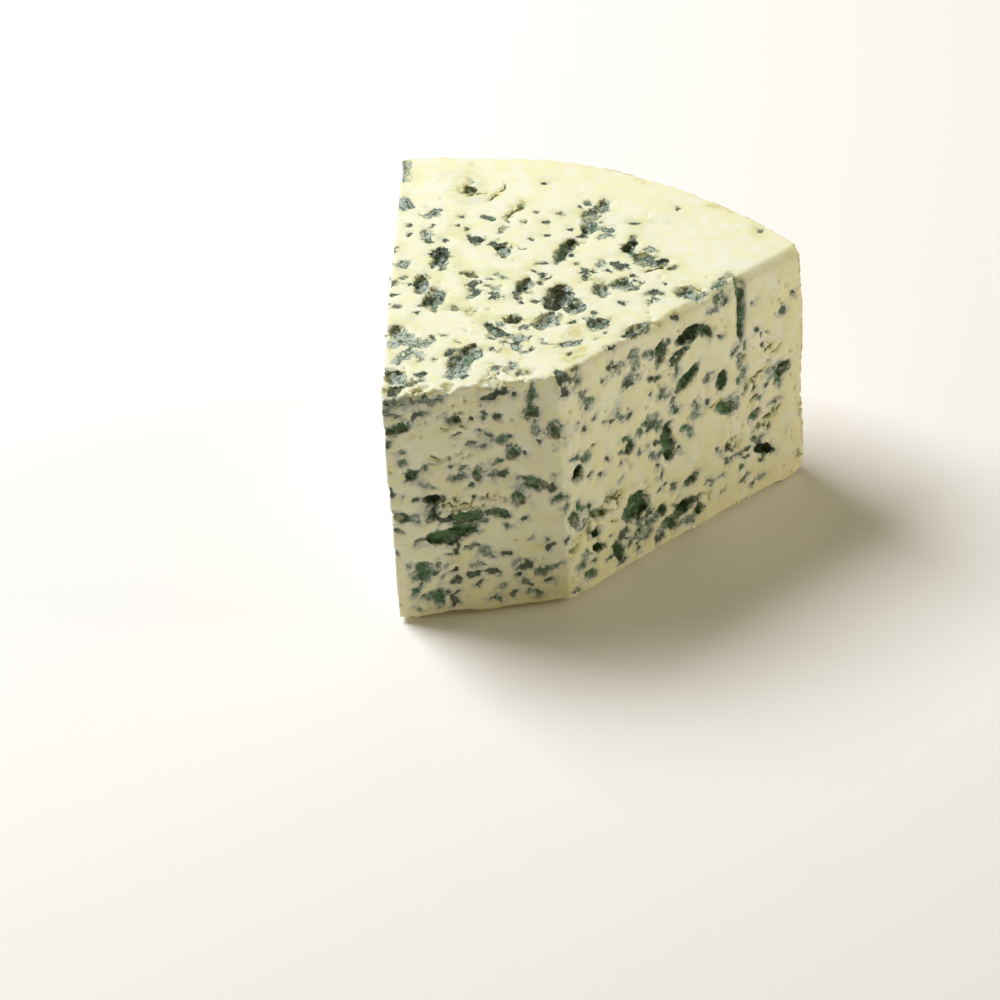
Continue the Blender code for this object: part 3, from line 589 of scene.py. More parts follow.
def inside(along, up, marks):
    """How far inside the nearest mark each point lies, negative outside."""
    field = np.full(len(along), -FAR)
    for x, y, length, width, turn in marks:
        span = length + MARK_MARGIN
        near = (np.abs(along - x) < span) & (np.abs(up - y) < span)
        across, over = along[near] - x, up[near] - y
        cos, sin = math.cos(math.radians(turn)), math.sin(math.radians(turn))
        p = 2 * (across * cos + over * sin) / length
        q = 2 * (over * cos - across * sin) / width
        reach = np.hypot(p, q) + TINY
        slope = np.hypot(2 * p / length, 2 * q / width) + TINY
        field[near] = np.maximum(field[near], (1 - reach) * reach / slope)
    return field


def rind_distance(points):
    """How far outside the rind's own profile each point lies, negative in the cheese."""
    plan = points + PLAN_MIDDLE
    radius = np.hypot(plan[:, 0], plan[:, 1])
    height = points[:, 2]
    past_side = radius - (CHEESE_RADIUS - LOWER_RIM_ROUND)
    past_base = LOWER_RIM_ROUND - height
    corner = np.hypot(np.maximum(past_side, 0), np.maximum(past_base, 0)) - LOWER_RIM_ROUND
    flat = np.maximum(past_side, past_base) - LOWER_RIM_ROUND
    return np.where((past_side > 0) & (past_base > 0), corner, flat)


def swell(points, height):
    """The gentle swells that the cuts and the rind of the solid have."""
    plan = (points + PLAN_MIDDLE) * MM
    return height * (grain(plan, SWELL_LENGTH) + grain(plan, SWELL_LENGTH / 3) / 3)


# %% [markdown]
# ## Reading the cheese at a point
#
# Everything that the surface needs to know is gathered by one function: how deep a point lies
# below the nearest cut, how far it is inside each kind of mark, and how far from the rind. The
# relief uses it first, and the colours read it again on the finished mesh. The points are pushed
# about by noise before they are compared with the marks, so the plain strokes turn into ragged
# patches.

# %% Reading the cheese
KINDS = ("slate", "dark", "green", "mouth", "channel", "ghost", "ochre", "crack", "torn")
BROAD_LUMP, BROAD_PUSH = 5.0, 1.6
FINE_LUMP, FINE_PUSH = 1.7, 0.6
COARSE_CURD, COARSE_SHARE = 4.2, 0.6
FINE_CURD, FINE_SHARE = 2.0, 0.4
CURD_GAP = (0.05, 0.5)
FRAYED_KINDS = ("slate", "dark", "green", "mouth")
GRAIN_FILL = 0.75
GRAIN_BITE = 0.95
MOUTH_SHRINK = 0.4
WALL_SLOPE = 1.3
WALL_START = 1.7
WALL_EDGE = (0, 0.5)
TORN_CRACK_SLOPE = 5
TORN_CRACK_START = 0.93
SHADE_NOISE = (9, 14)
SHADE_UPRIGHT = 0.35
SHADE_TOP = -0.25
OFF_THE_TOP = 1
UPRIGHT_FROM = 3
MARK_DEPTH = 1.2
EDGE_REACH = (2.5, 6)


def curd_gaps(points, size, seed=0):
    """1 in the gaps between the lumps of curd and 0 in the middle of a lump."""
    nearest = [noise.voronoi(place)[0] for place in noise_places(points, size, seed)]
    gaps = np.array([second - first for first, second, *others in nearest])
    return 1 - smooth(gaps, *CURD_GAP)


def depths_below(points):
    """The depth of each point below each cut and below the rind."""
    depths = {name: -read_ruler(cut, points)[2] for name, cut in CUTS.items()}
    depths["rind"] = -rind_distance(points)
    return depths


def read_cheese(points):
    """What the surface is made of at each point, as named arrays."""
    depths = depths_below(points)
    ordered = np.sort(np.array(list(depths.values())), axis=0)
    rind_swell = swell(points, RIND_SWELL) * smooth(points[:, 2], 0, LOWER_RIM_ROUND)
    facts = {
        "hollow": ordered[0] * smooth(ordered[1], *EDGE_REACH),
        "edge": ordered[1],
        "rind": -depths["rind"] - rind_swell,
        "below_top": np.where(ordered[0] < depths["top"] - OFF_THE_TOP, depths["top"], 0),
    }
    pushed = points + BROAD_PUSH * wander(points, BROAD_LUMP)
    pushed = pushed + FINE_PUSH * wander(points, FINE_LUMP, 1)
    coarse, fine = curd_gaps(pushed, COARSE_CURD), curd_gaps(pushed, FINE_CURD, 1)
    gaps = COARSE_SHARE * coarse + FINE_SHARE * fine
    frayed = GRAIN_FILL * gaps - GRAIN_BITE * (1 - gaps)
    facts["gaps"] = gaps
    fields = {kind: np.full(len(points), -FAR) for kind in KINDS}
    for name, cut in CUTS.items():
        near = depths[name] < 2 * LOWER_RIM_ROUND
        along, up, _ = read_ruler(cut, pushed[near])
        sunk = np.maximum(depths[name][near] - MARK_DEPTH, 0)
        elsewhere = depths[name][near] > ordered[0][near]
        for kind, marks in MARKS[name].items():
            # Dark marks keep their full strength down the pockets of their own cut, where they paint
            # the shade at the bottom.
            found = inside(along, up, marks) - sunk * (elsewhere if kind == "dark" else 1)
            if kind in FRAYED_KINDS:
                found += frayed[near]
            if kind == "mouth":
                found -= MOUTH_SHRINK
            fields[kind][near] = np.maximum(fields[kind][near], found)
    # In torn curd the gaps between the lumps become cracks too, which sink and are painted dark olive:
    # partly stain, partly painted shade.
    torn_cracks = np.minimum(fields["torn"], TORN_CRACK_SLOPE * (gaps - TORN_CRACK_START))
    fields["crack"] = np.maximum(fields["crack"], torn_cracks)
    facts.update(fields)
    hollow = facts["hollow"]
    walls = WALL_SLOPE * hollow - WALL_START + frayed - FAR * (1 - smooth(hollow, *WALL_EDGE))
    facts["mould"] = np.maximum.reduce([
        fields["slate"], fields["dark"], fields["green"], fields["mouth"], fields["channel"], walls,
    ])
    upright = facts["below_top"] > UPRIGHT_FROM
    shade = grain(points, *SHADE_NOISE) + np.where(upright, SHADE_UPRIGHT, SHADE_TOP)
    facts["green"] = np.maximum.reduce([
        fields["green"], fields["channel"], np.where(shade > 0, fields["mouth"], -FAR),
    ])
    facts["slate"] = np.maximum(facts["slate"], np.where(shade > 0, -FAR, fields["mouth"]))
    return facts


# %% [markdown]
# The mesh will have more than two hundred thousand points. To handle them one by one is slow, so
# their places are read and written as one array.

# %% Points in and out of the mesh
def get_points(item):
    """The places of a mesh's points in millimetres."""
    flat = np.empty(len(item.data.vertices) * 3, np.float32)
    item.data.vertices.foreach_get("co", flat)
    return flat.reshape(-1, 3).astype(float) / MM


def set_points(item, points):
    """Move a mesh's points to new places in millimetres."""
    item.data.vertices.foreach_set("co", (points * MM).astype(np.float32).ravel())
    item.data.update()


def get_normals(item):
    """The direction out of the mesh at each point."""
    flat = np.empty(len(item.data.vertices) * 3, np.float32)
    item.data.vertex_normals.foreach_get("vector", flat)
    return flat.reshape(-1, 3).astype(float)


# %% [markdown]
# ## The mesh of the wedge
#
# The solid has few and large faces. A copy of it is merged and remeshed with small even ones,
# which can carry the fine relief. Multiresolution sculpting could do the same, but the voxel
# remesh also melts the hard facets of the pockets. A light smoothing finishes that.

# %% An even mesh
DOUBLES_APART = 0.01 * MM
VOXEL = 0.62 * MM
SMOOTH_SHARE = 0.5
SMOOTH_ROUNDS = 6

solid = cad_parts["blue_cheese"]
cheese = bpy.data.objects.new("cheese_wedge", solid.data.copy())
cheese.data.materials.clear()
bpy.context.scene.collection.objects.link(cheese)
bpy.context.view_layer.objects.active = cheese
cheese.select_set(True)
bpy.ops.object.mode_set(mode='EDIT')
bpy.ops.mesh.select_all(action='SELECT')
bpy.ops.mesh.remove_doubles(threshold=DOUBLES_APART)
bpy.ops.object.mode_set(mode='OBJECT')

even = cheese.modifiers.new("Even", 'REMESH')
even.mode = 'VOXEL'
even.voxel_size = VOXEL
bpy.ops.object.modifier_apply(modifier=even.name)
melt = cheese.modifiers.new("Melt", 'SMOOTH')
melt.factor = SMOOTH_SHARE
melt.iterations = SMOOTH_ROUNDS
bpy.ops.object.modifier_apply(modifier=melt.name)
print("even mesh:", len(cheese.data.vertices), "points")

# %% [markdown]
# The points of the flat cuts and of the rind are now put back on their exact swells, to lose what
# is left of the coarse facets. A Shrinkwrap modifier could do it with a helper surface, but the
# rulers already say where each cut lies. A point takes part if it faces the right way and lies
# near enough, with soft limits for both.

# %% Back onto the swells
CUT_FACING, CUT_NEARNESS = (0.75, 0.95), (0.25, 0.7)
RIND_FACING, RIND_NEARNESS = (0.9, 0.98), (0.4, 1)


def settle(points, normals):
    """Put the points of the flat cuts and of the rind back on their exact swells."""
    cut_swell = swell(points, CUT_SWELL)
    for cut in CUTS.values():
        off = read_ruler(cut, points)[2] - cut_swell
        facing = smooth(normals @ cut.out, *CUT_FACING)
        share = facing * (1 - smooth(np.abs(off), *CUT_NEARNESS))
        points = points - (share * off)[:, None] * cut.out
    plan = points + PLAN_MIDDLE
    round_out = np.stack((plan[:, 0], plan[:, 1], np.zeros(len(plan))), axis=1)
    round_out /= np.linalg.norm(round_out, axis=1)[:, None]
    off = rind_distance(points) - swell(points, RIND_SWELL)
    facing = smooth(np.sum(normals * round_out, axis=1), *RIND_FACING)
    share = facing * (points[:, 2] > LOWER_RIM_ROUND) * (1 - smooth(np.abs(off), *RIND_NEARNESS))
    return points - (share * off)[:, None] * round_out


set_points(cheese, settle(get_points(cheese), get_normals(cheese)))

# %% [markdown]
# The edge between the top and the right cut is softly rounded, as a knife leaves it in ripe
# cheese, while the other edges stay crisp. The same smoothing as before, held to that edge by a
# vertex group, rounds it.

# %% A soft edge
SOFT_EDGE_REACH = 3.2
SOFT_EDGE_ROUNDS = 14


def soften_right_edge(item):
    """Round the edge between the top and the right cut."""
    depths = depths_below(get_points(item))
    near = (depths["top"] < SOFT_EDGE_REACH) & (depths["right"] < SOFT_EDGE_REACH)
    group = item.vertex_groups.new(name="right_edge")
    group.add(np.flatnonzero(near).tolist(), 1.0, 'REPLACE')
    soften = item.modifiers.new("Soften", 'SMOOTH')
    soften.factor = SMOOTH_SHARE
    soften.iterations = SOFT_EDGE_ROUNDS
    soften.vertex_group = group.name
    bpy.ops.object.modifier_apply(modifier=soften.name)
    item.vertex_groups.clear()
    print("softened", near.sum(), "points")


soften_right_edge(cheese)
points = get_points(cheese)

# %% [markdown]
# ## Relief
#
# The knife leaves a cut almost smooth, but not quite: the paste tears a little, and more where the
# curd is torn. Patches of mould sink in between soft shoulders and lie in folds, cracks open, small
# pits stay where two lumps of curd never met, and the rind is scaly. All of it is done by moving
# points along their normals. A Displace modifier with textures could do parts of it, but only our
# own fields know where the patches are. Each noise is given by the size of its lumps in
# millimetres and a seed of its own.

# %% Relief of the paste, the mould and the rind
PASTE_TEAR = 0.1
TORN_TEAR, TORN_ROUGHNESS = 0.35, 0.7
SHOULDER_SINK = 0.26
PATCH_SINK, PATCH_TEAR, PATCH_FOLD = 0.55, 0.35, 0.3
CRACK_SINK = 0.8
PIT_SINK = 0.7
POCKET_LUMP = 0.6
RIND_SCALE = 0.26
NOISES = {
    "lumps": (1.3, 2), "small lumps": (0.9, 3), "tears": (3.4, 4), "small tears": (1.7, 5),
    "sag": (5, 6), "pits": (1.9, 7), "pitted areas": (9, 8), "scales": (7, 9),
    "rough rind": (2.6, 10), "rind grit": (1.2, 11), "edge crumbs": (1.9, 12),
    "fine crumbs": (1.0, 13), "folds": (3.2, 15), "lips": (2.8, 16), "nicks": (6, 17),
}
SMALLER_SHARE = 0.6
FOLD_SHARPNESS, FOLD_DEPTH = 4, 1.5
SCALE_SHARPNESS, SCALE_STRETCH = 3, (1, 1, 2.2)
EDGES = {
    "rind": (-0.9, -0.3), "patch": (-0.3, 0.9), "shoulder": (-2.8, 0.2), "torn": (-1.2, 1),
    "crack": (-0.35, 0.35), "pit": (0.62, 0.8), "clear of mould": (-10, -5),
    "pocket": (0.3, 1.5), "lip": (-1.3, 0.3), "floor": (0.4, 1.5), "nick": (0.05, 0.4),
}


def named_grain(points, name):
    """One of the named noises."""
    return grain(points, *NOISES[name])


def relief_heights(points, facts):
    """How far each point rises above the plain surface, negative where it sinks."""
    rind = smooth(facts["rind"], *EDGES["rind"])
    patch = smooth(facts["mould"], *EDGES["patch"])
    lumpy = named_grain(points, "lumps") + SMALLER_SHARE * named_grain(points, "small lumps")
    tears = named_grain(points, "tears") + SMALLER_SHARE * named_grain(points, "small tears")
    folds = 1 - np.minimum(FOLD_SHARPNESS * np.abs(named_grain(points, "folds")), FOLD_DEPTH)
    sag = PATCH_SINK * (0.7 + named_grain(points, "sag"))
    height = PASTE_TEAR * tears
    torn = smooth(facts["torn"], *EDGES["torn"])
    height += TORN_TEAR * torn * (TORN_ROUGHNESS * lumpy - facts["gaps"])
    height -= SHOULDER_SINK * smooth(facts["mould"], *EDGES["shoulder"])
    height -= patch * (sag - PATCH_TEAR * lumpy - PATCH_FOLD * folds)
    height -= CRACK_SINK * smooth(facts["crack"], *EDGES["crack"])
    pits = named_grain(points, "pits") + 0.5 * named_grain(points, "pitted areas")
    clear = smooth(facts["mould"], *EDGES["clear of mould"])
    height -= PIT_SINK * smooth(pits, *EDGES["pit"]) * clear * (1 - rind)
    height += smooth(facts["hollow"], *EDGES["pocket"]) * POCKET_LUMP * (0.5 - facts["gaps"])
    scales = 1 - np.abs(named_grain(points * SCALE_STRETCH, "scales")) * SCALE_SHARPNESS
    scaly = scales * 0.6 + named_grain(points, "rough rind") * 0.7
    scaly += named_grain(points, "rind grit") * 0.4
    return height * (1 - rind) + rind * RIND_SCALE * scaly


# %% [markdown]
# Broken places need pushes in any direction, not only along the normals. The edges crumble, most
# of all the one between the top and the front, and so do the lips and floors of the pockets. On
# the top and the front the mould fills part of each pocket, as silt fills a pond. The lower edges
# of the cuts are chipped upwards.

# %% Crumbling, silt and nicks
EDGE_CRUMBLE, EDGE_BAND = 0.2, (0.5, 4)
FRONT_CRUMBLE, FRONT_BAND, FRONT_REACH = 0.45, (1, 5), 5
LIP_CRUMBLE, LIP_BAND = 0.75, (0.5, 3)
FLOOR_SHARE = 0.5
FINE_CRUMBLE, COARSE_CRUMBLE = 0.9, 0.8
SILT = {"top": 0.3, "front": 0.6}
NICK_RISE, NICK_REACH = 1.3, 3.0


def crumble(points, facts):
    """How far each point is pushed about, along edges and in pockets."""
    depths = depths_below(points)
    front_edge = (depths["front"] < FRONT_REACH) & (depths["top"] < FRONT_REACH)
    plain = EDGE_CRUMBLE * (1 - smooth(facts["edge"], *EDGE_BAND))
    broken = FRONT_CRUMBLE * (1 - smooth(facts["edge"], *FRONT_BAND))
    size = np.where(front_edge, broken, plain)
    floors = smooth(facts["hollow"], *EDGES["floor"])
    lips = smooth(facts["mouth"], *EDGES["lip"]) * (1 - floors)
    lips = np.maximum(FLOOR_SHARE * floors, lips) * smooth(facts["edge"], *LIP_BAND)
    fine = FINE_CRUMBLE * wander(points, *NOISES["fine crumbs"])
    coarse = COARSE_CRUMBLE * wander(points, *NOISES["edge crumbs"])
    broad = wander(points, *NOISES["lips"])
    return size[:, None] * (fine + coarse) + LIP_CRUMBLE * lips[:, None] * (fine + broad)


def silt(points, facts):
    """How far the mould fills up the pockets of the top and the front."""
    depths = depths_below(points)
    nearest = np.minimum.reduce(list(depths.values()))
    lift = np.zeros_like(points)
    for name, share in SILT.items():
        own = depths[name] == nearest
        lift[own] = share * facts["hollow"][own, None] * CUTS[name].out
    return lift


def nicks(points):
    """How far the lower edges of the cuts are chipped upwards."""
    depths = depths_below(points)
    nearest = np.minimum.reduce([depths[name] for name in CUTS])
    chips = smooth(named_grain(points * (1, 1, 0), "nicks"), *EDGES["nick"])
    at_edge = (1 - smooth(nearest, 0, NICK_REACH)) * (1 - smooth(points[:, 2], 0, NICK_REACH))
    return NICK_RISE * chips * at_edge


# %% [markdown]
# Now the points move. Those of the base stay where they are in plan and come down flat to the
# height of the table, and nothing goes below it. A nick lifts the points of the base as well.

# %% Moving the points
BASE_HEIGHT = 0.6
BASE_FACING = -0.8

facts = read_cheese(points)
normals = get_normals(cheese)
chipped = nicks(points)
base = (points[:, 2] < BASE_HEIGHT) & (normals[:, 2] < BASE_FACING)
moved = points + relief_heights(points, facts)[:, None] * normals
moved += crumble(points, facts) + silt(points, facts)
moved[base] = points[base]
moved[base, 2] = 0
moved[:, 2] = np.maximum(moved[:, 2], 0) + chipped
set_points(cheese, moved)
print("relief from", (moved - points).min().round(2), "to", (moved - points).max().round(2), "mm")

# %% [markdown]
# ## Fewer faces where nothing happens
#
# The flat base, the clean band near the rim and the plain paste don't need such small faces. The
# Decimate modifier takes faces away where the mesh is flattest, and a vertex group with a low
# weight there keeps it off the edges of the mould, where the colours change within a millimetre.

# %% Fewer faces
MOST_TRIANGLES = 194_000
MOULD_EDGE_BAND = 1.1
MOULD_EDGE_WEIGHT = 0.05


def count_triangles(item):
    """How many triangles a mesh comes to."""
    return sum(len(face.vertices) - 2 for face in item.data.polygons)


may_go = cheese.vertex_groups.new(name="may_lose_faces")
edge_of_mould = np.abs(facts["mould"]) < MOULD_EDGE_BAND
for weight, chosen in ((MOULD_EDGE_WEIGHT, edge_of_mould), (1.0, ~edge_of_mould)):
    may_go.add(np.flatnonzero(chosen).tolist(), weight, 'REPLACE')
triangles = count_triangles(cheese)
fewer = cheese.modifiers.new("Fewer", 'DECIMATE')
fewer.ratio = min(1, MOST_TRIANGLES / triangles)
fewer.vertex_group = may_go.name
fewer.vertex_group_factor = 1.0
bpy.ops.object.modifier_apply(modifier=fewer.name)
cheese.vertex_groups.clear()
bpy.ops.object.shade_smooth()
cheese.select_set(False)
print("triangles:", triangles, "before,", count_triangles(cheese), "after")

# %% [markdown]
# ## Telling the material
#
# What the fields know is written onto the mesh as attributes, one number for each point. The
# material reads them with Attribute nodes. They hold distances in millimetres, or shares between 0
# and 1, and not colours, so the material can still bend and sharpen the edges with finer noise
# than the mesh has points. A dark mark is darkest at the bottom of a pocket, as painted shade.

# %% Attributes
OPEN_DARK = 0.75
DARK_EDGE, POCKET_SHADE_EDGE = (-0.3, 0.5), (0.5, 1.5)
EVEN_EDGE = (-0.4, 0.4)
SHARE_EDGES = {"ghost": (-0.7, 1.4), "ochre": (-1.0, 1.2), "torn": EDGES["torn"]}
UPRIGHT_EDGE = (0.5, 3)
MOULD_FAR = 8
RIND_FAR = 60
DEEPEST = 10


def write_attributes(item, facts):
    """Write the named arrays onto the mesh."""
    for name, values in facts.items():
        layer = item.data.attributes.new(name, 'FLOAT', 'POINT')
        layer.data.foreach_set("value", values.astype(np.float32))


def tone_facts(facts):
    """The facts that the material reads."""
    not_green = np.maximum(facts["slate"], facts["dark"])
    not_dark = np.maximum(facts["slate"], facts["green"])
    open_dark = smooth(facts["dark"] - not_dark, *EVEN_EDGE)
    # Painted shade: a dark mark goes fully dark at the bottom of a pocket.
    pocket_floor_shade = smooth(facts["dark"], *DARK_EDGE) * smooth(facts["hollow"], *POCKET_SHADE_EDGE)
    return {
        "mould": np.maximum(facts["mould"], -MOULD_FAR),
        "green": smooth(facts["green"] - not_green, *EVEN_EDGE),
        "dark": np.maximum(OPEN_DARK * open_dark, pocket_floor_shade),
        **{kind: smooth(facts[kind], *edge) for kind, edge in SHARE_EDGES.items()},
        "crack": np.maximum(facts["crack"], -MOULD_FAR),
        "hollow": np.clip(facts["hollow"], 0, DEEPEST),
        "rind": np.maximum(facts["rind"], -RIND_FAR),
        "upright": smooth(facts["below_top"], *UPRIGHT_EDGE),
    }


tones = tone_facts(read_cheese(get_points(cheese)))
write_attributes(cheese, tones)
TONE_FACTS = tuple(tones)
print("attributes:", TONE_FACTS)

# %% [markdown]
# ## Building materials from nodes
#
# The trees below could be drawn by hand in the node editor. In code, `Recipe` keeps them short: it
# wraps one node tree and offers the few kinds of nodes that this cheese needs. Its `put` adds a
# node, sets its properties and fills its inputs, with a value or with a link, and its `layer` lays
# one tone over another, as a painter glazes.

# %% Node helpers
MIX_SHARE, MIX_FIRST, MIX_SECOND, MIX_COLOUR = 0, 6, 7, 2


class Recipe:
    """A node tree with short names for the nodes that the cheese needs."""

    def __init__(self, tree):
        self.tree = tree

    def put(self, kind, inputs=(), **settings):
        """Add a node, set its properties, and set or link its inputs by name or number."""
        made = self.tree.nodes.new(kind)
        for name, value in settings.items():
            setattr(made, name, value)
        for name, value in dict(inputs).items():
            if isinstance(value, bpy.types.NodeSocket):
                self.tree.links.new(value, made.inputs[name])
            else:
                made.inputs[name].default_value = value
        return made

    def sums(self, operation, *values):
        """A Math node."""
        return self.put('ShaderNodeMath', enumerate(values), operation=operation).outputs[0]

    def times(self, product, *values):
        """The product of some values."""
        for value in values:
            product = self.sums('MULTIPLY', product, value)
        return product

    def add(self, value, more, share):
        """A value with a share of another one added to it."""
        return self.sums('MULTIPLY_ADD', more, share, value)

    def step(self, value, low, high, out_low=0.0, out_high=1.0):
        """A smooth step from out_low to out_high as the value goes from low to high."""
        inputs = {"Value": value, "From Min": low, "From Max": high, "To Min": out_low,
                  "To Max": out_high}
        made = self.put('ShaderNodeMapRange', inputs, interpolation_type='SMOOTHSTEP')
        return made.outputs["Result"]

    def lumps(self, point, size, detail=2.0, rough=0.5):
        """Noise around zero, in lumps of a size in millimetres."""
        inputs = {"Vector": point, "Scale": 1 / (size * MM), "Detail": detail, "Roughness": rough}
        made = self.put('ShaderNodeTexNoise', inputs)
        return self.sums('SUBTRACT', made.outputs[0], 0.5)

    def mix(self, share, first, second):
        """A colour between two colours."""
        inputs = {MIX_SHARE: share, MIX_FIRST: first, MIX_SECOND: second}
        return self.put('ShaderNodeMix', inputs, data_type='RGBA').outputs[MIX_COLOUR]

    def layer(self, colour, tone, *shares):
        """A tone laid over a colour, as strongly as the product of the shares says."""
        return self.mix(self.times(*shares), colour, tone)


def new_recipe_group(name, inputs, outputs):
    """A node group with named sockets: the recipe, its inputs and its outputs."""
    group = bpy.data.node_groups.new(name, 'ShaderNodeTree')
    for direction, sockets in (('INPUT', inputs), ('OUTPUT', outputs)):
        for socket, kind in sockets:
            group.interface.new_socket(socket, in_out=direction, socket_type='NodeSocket' + kind)
    recipe = Recipe(group)
    return recipe, recipe.put('NodeGroupInput').outputs, recipe.put('NodeGroupOutput').inputs


# %% [markdown]
# ## The marbled paste
#
# The paste is ivory and slightly translucent, with blue-green mould in it. An image could be
# painted for it, but it would blur close up, and a node group stays sharp and goes round every
# corner. The group starts with its tones, its noises and its steps. A noise is given by the size
# of its lumps in millimetres, and for some by its detail and roughness. A step is given by where
# it starts and ends, and for some by its value before and after. All of them were found by trying.

# %% Tones, noises and steps of the paste
PASTE = (0.885, 0.878, 0.65, 1)
PASTE_NEAR_RIND = (0.885, 0.85, 0.57, 1)
PASTE_PALE = (0.90, 0.90, 0.74, 1)
PASTE_BEIGE = (0.83, 0.775, 0.52, 1)
PASTE_YELLOW = (0.87, 0.85, 0.50, 1)
PASTE_TINGED = (0.71, 0.69, 0.31, 1)
HAZE_TOP = (0.64, 0.69, 0.56, 1)
HAZE_UPRIGHT = (0.48, 0.51, 0.49, 1)
OLIVE_RIM = (0.40, 0.40, 0.15, 1)
SKIN_TOP = (0.55, 0.61, 0.50, 1)
SKIN_UPRIGHT = (0.39, 0.45, 0.385, 1)
SLATE = (0.25, 0.31, 0.24, 1)
SLATE_PALE = (0.47, 0.53, 0.44, 1)
MOULD_GREEN = (0.10, 0.20, 0.09, 1)
# Nearly black: the darkest mould, and also painted shade at pocket bottoms and along one side of the
# patches.
DARK_MOULD_AND_SHADE = (0.016, 0.034, 0.011, 1)
# Pocket linings, paler than the mould on the cuts: painted light against the shade in the pockets.
LIT_POCKET_TOP = (0.40, 0.45, 0.37, 1)
LIT_POCKET_UPRIGHT = (0.15, 0.28, 0.14, 1)
OCHRE = (0.64, 0.575, 0.20, 1)
# Dark olive of the cracks: partly stain, partly painted shade in the crack.
CRACK_OLIVE_AND_SHADE = (0.10, 0.085, 0.025, 1)
PASTE_NOISES = {
    "broad": (2.4,), "mottle": (1.7,), "fine": (0.8,), "slow": (14,), "one side": (5, 1),
    "beige": (11, 3), "yellow": (6, 3), "blotches": (9,), "wrinkles": (3.6,), "fuzz": (0.45,),
}
PASTE_STEPS = {
    "mask": (-0.4, 0.35),
    "near rind": (-27, -4),
    "beige": (-0.08, 0.12, 0, 0.55),
    "yellow": (0.0, 0.15, 0, 0.6),
    "pale": (-0.02, -0.16, 0, 0.7),
    "pale lumps": (0.0, 0.25, 0, 0.5),
    "fresh": (-0.1, 0.12, 0.1, 0.7),
    "ochre": (-0.2, 0.1, 0.15, 0.75),
    "tinge": (-6.0, -0.8),
    "blotches": (-0.02, 0.12, 0.15, 0.75),
    "tinge by cut": (0, 1, 0.75, 0.28),
    "haze": (-2.0, 0.1),
    "haze by cut": (0, 1, 0.3, 0.62),
    "one side": (-0.04, 0.05),
    "olive": (-1.1, -0.2),
    "olive side": (0, 1, 0.65, 0),
    "olive by cut": (0, 1, 1, 0.1),
    "ghost": (-0.25, 0.2, 0.15, 1),
    "core": (-0.1, 1.6),
    "pale slate": (-0.12, 0.1),
    "dark spots": (-0.07, -0.15, 0, 0.95),
    "grey in pocket": (0.03, 0.28, 0, 0.6),
    "dark in pocket": (-0.03, -0.28, 0, 0.7),
    "pocket": (0.8, 3.5, 0, 0.75),
    "stain by cut": (0, 1, 0.6, 0),
    "wrinkle": (0.042, 0.01),
    "wrinkled": (-0.9, 0.1),
    "outline_and_shadow": (0.55, 0.12),
    "line by cut": (0, 1, 0.95, 0.6),
    "crack rim": (-1.6, -0.1, 0, 0.4),
    "crack": (0.02, 0.28, 0, 0.9),
}

paste, given, result = new_recipe_group(
    "marbled_paste",
    [("Point", "Vector")] + [(fact.capitalize(), "Float") for fact in TONE_FACTS],
    [("Colour", "Color"), ("Mould mask", "Float"), ("Height", "Float")],
)
point, upright = given["Point"], given["Upright"]


def paste_noise(name):
    """One of the noises of the paste."""
    return paste.lumps(point, *PASTE_NOISES[name])


def paste_step(value, name):
    """One of the steps of the paste."""
    return paste.step(value, *PASTE_STEPS[name])


print("marbled paste:", len(PASTE_NOISES), "noises and", len(PASTE_STEPS), "steps")

# %% [markdown]
# The mould is painted where its distance is above zero. Two noises are added to that distance
# before the cut-off, so the edge frays. The paste itself is yellower towards the rind, where it
# ripens first, and beige in blotches on the upright cuts. It is palest where it was torn open, and
# ochre where the mould stained it.

# %% Tones of the paste
BROAD_FRAY, FINE_FRAY = 1.7, 0.8
RIPE_FRAY = 14

broad, fine, slow, mottle = (paste_noise(name) for name in ("broad", "fine", "slow", "mottle"))
frayed = paste.add(paste.add(given["Mould"], broad, BROAD_FRAY), fine, FINE_FRAY)
mask = paste_step(frayed, "mask")
near_rind = paste_step(paste.add(given["Rind"], slow, RIPE_FRAY), "near rind")
colour = paste.mix(near_rind, PASTE, PASTE_NEAR_RIND)
colour = paste.layer(colour, PASTE_BEIGE, paste_step(paste_noise("beige"), "beige"), upright)
yellowed = paste_noise("yellow")
colour = paste.layer(colour, PASTE_YELLOW, paste_step(yellowed, "yellow"))
colour = paste.layer(colour, PASTE_PALE, paste_step(yellowed, "pale"))
colour = paste.layer(colour, PASTE_PALE, paste_step(broad, "pale lumps"))
colour = paste.layer(colour, PASTE_PALE, given["Torn"], paste_step(mottle, "fresh"))
ochre = paste.times(given["Ochre"], paste_step(broad, "ochre"))
colour = paste.layer(colour, OCHRE, ochre)
print("tones of the paste:", len(paste.tree.nodes), "nodes so far")

# %% [markdown]
# Around a patch the mould goes on below the surface, so the paste is tinged there, then hazed with
# grey close to the patch, and olive along one side of it. The ghosts are laid on in the same grey.
# Most of these layers have one strength on the top and another on the upright cuts.

# %% Paste around the mould
HAZE_FRAY = 2.0
GHOST_SHARE = 0.6

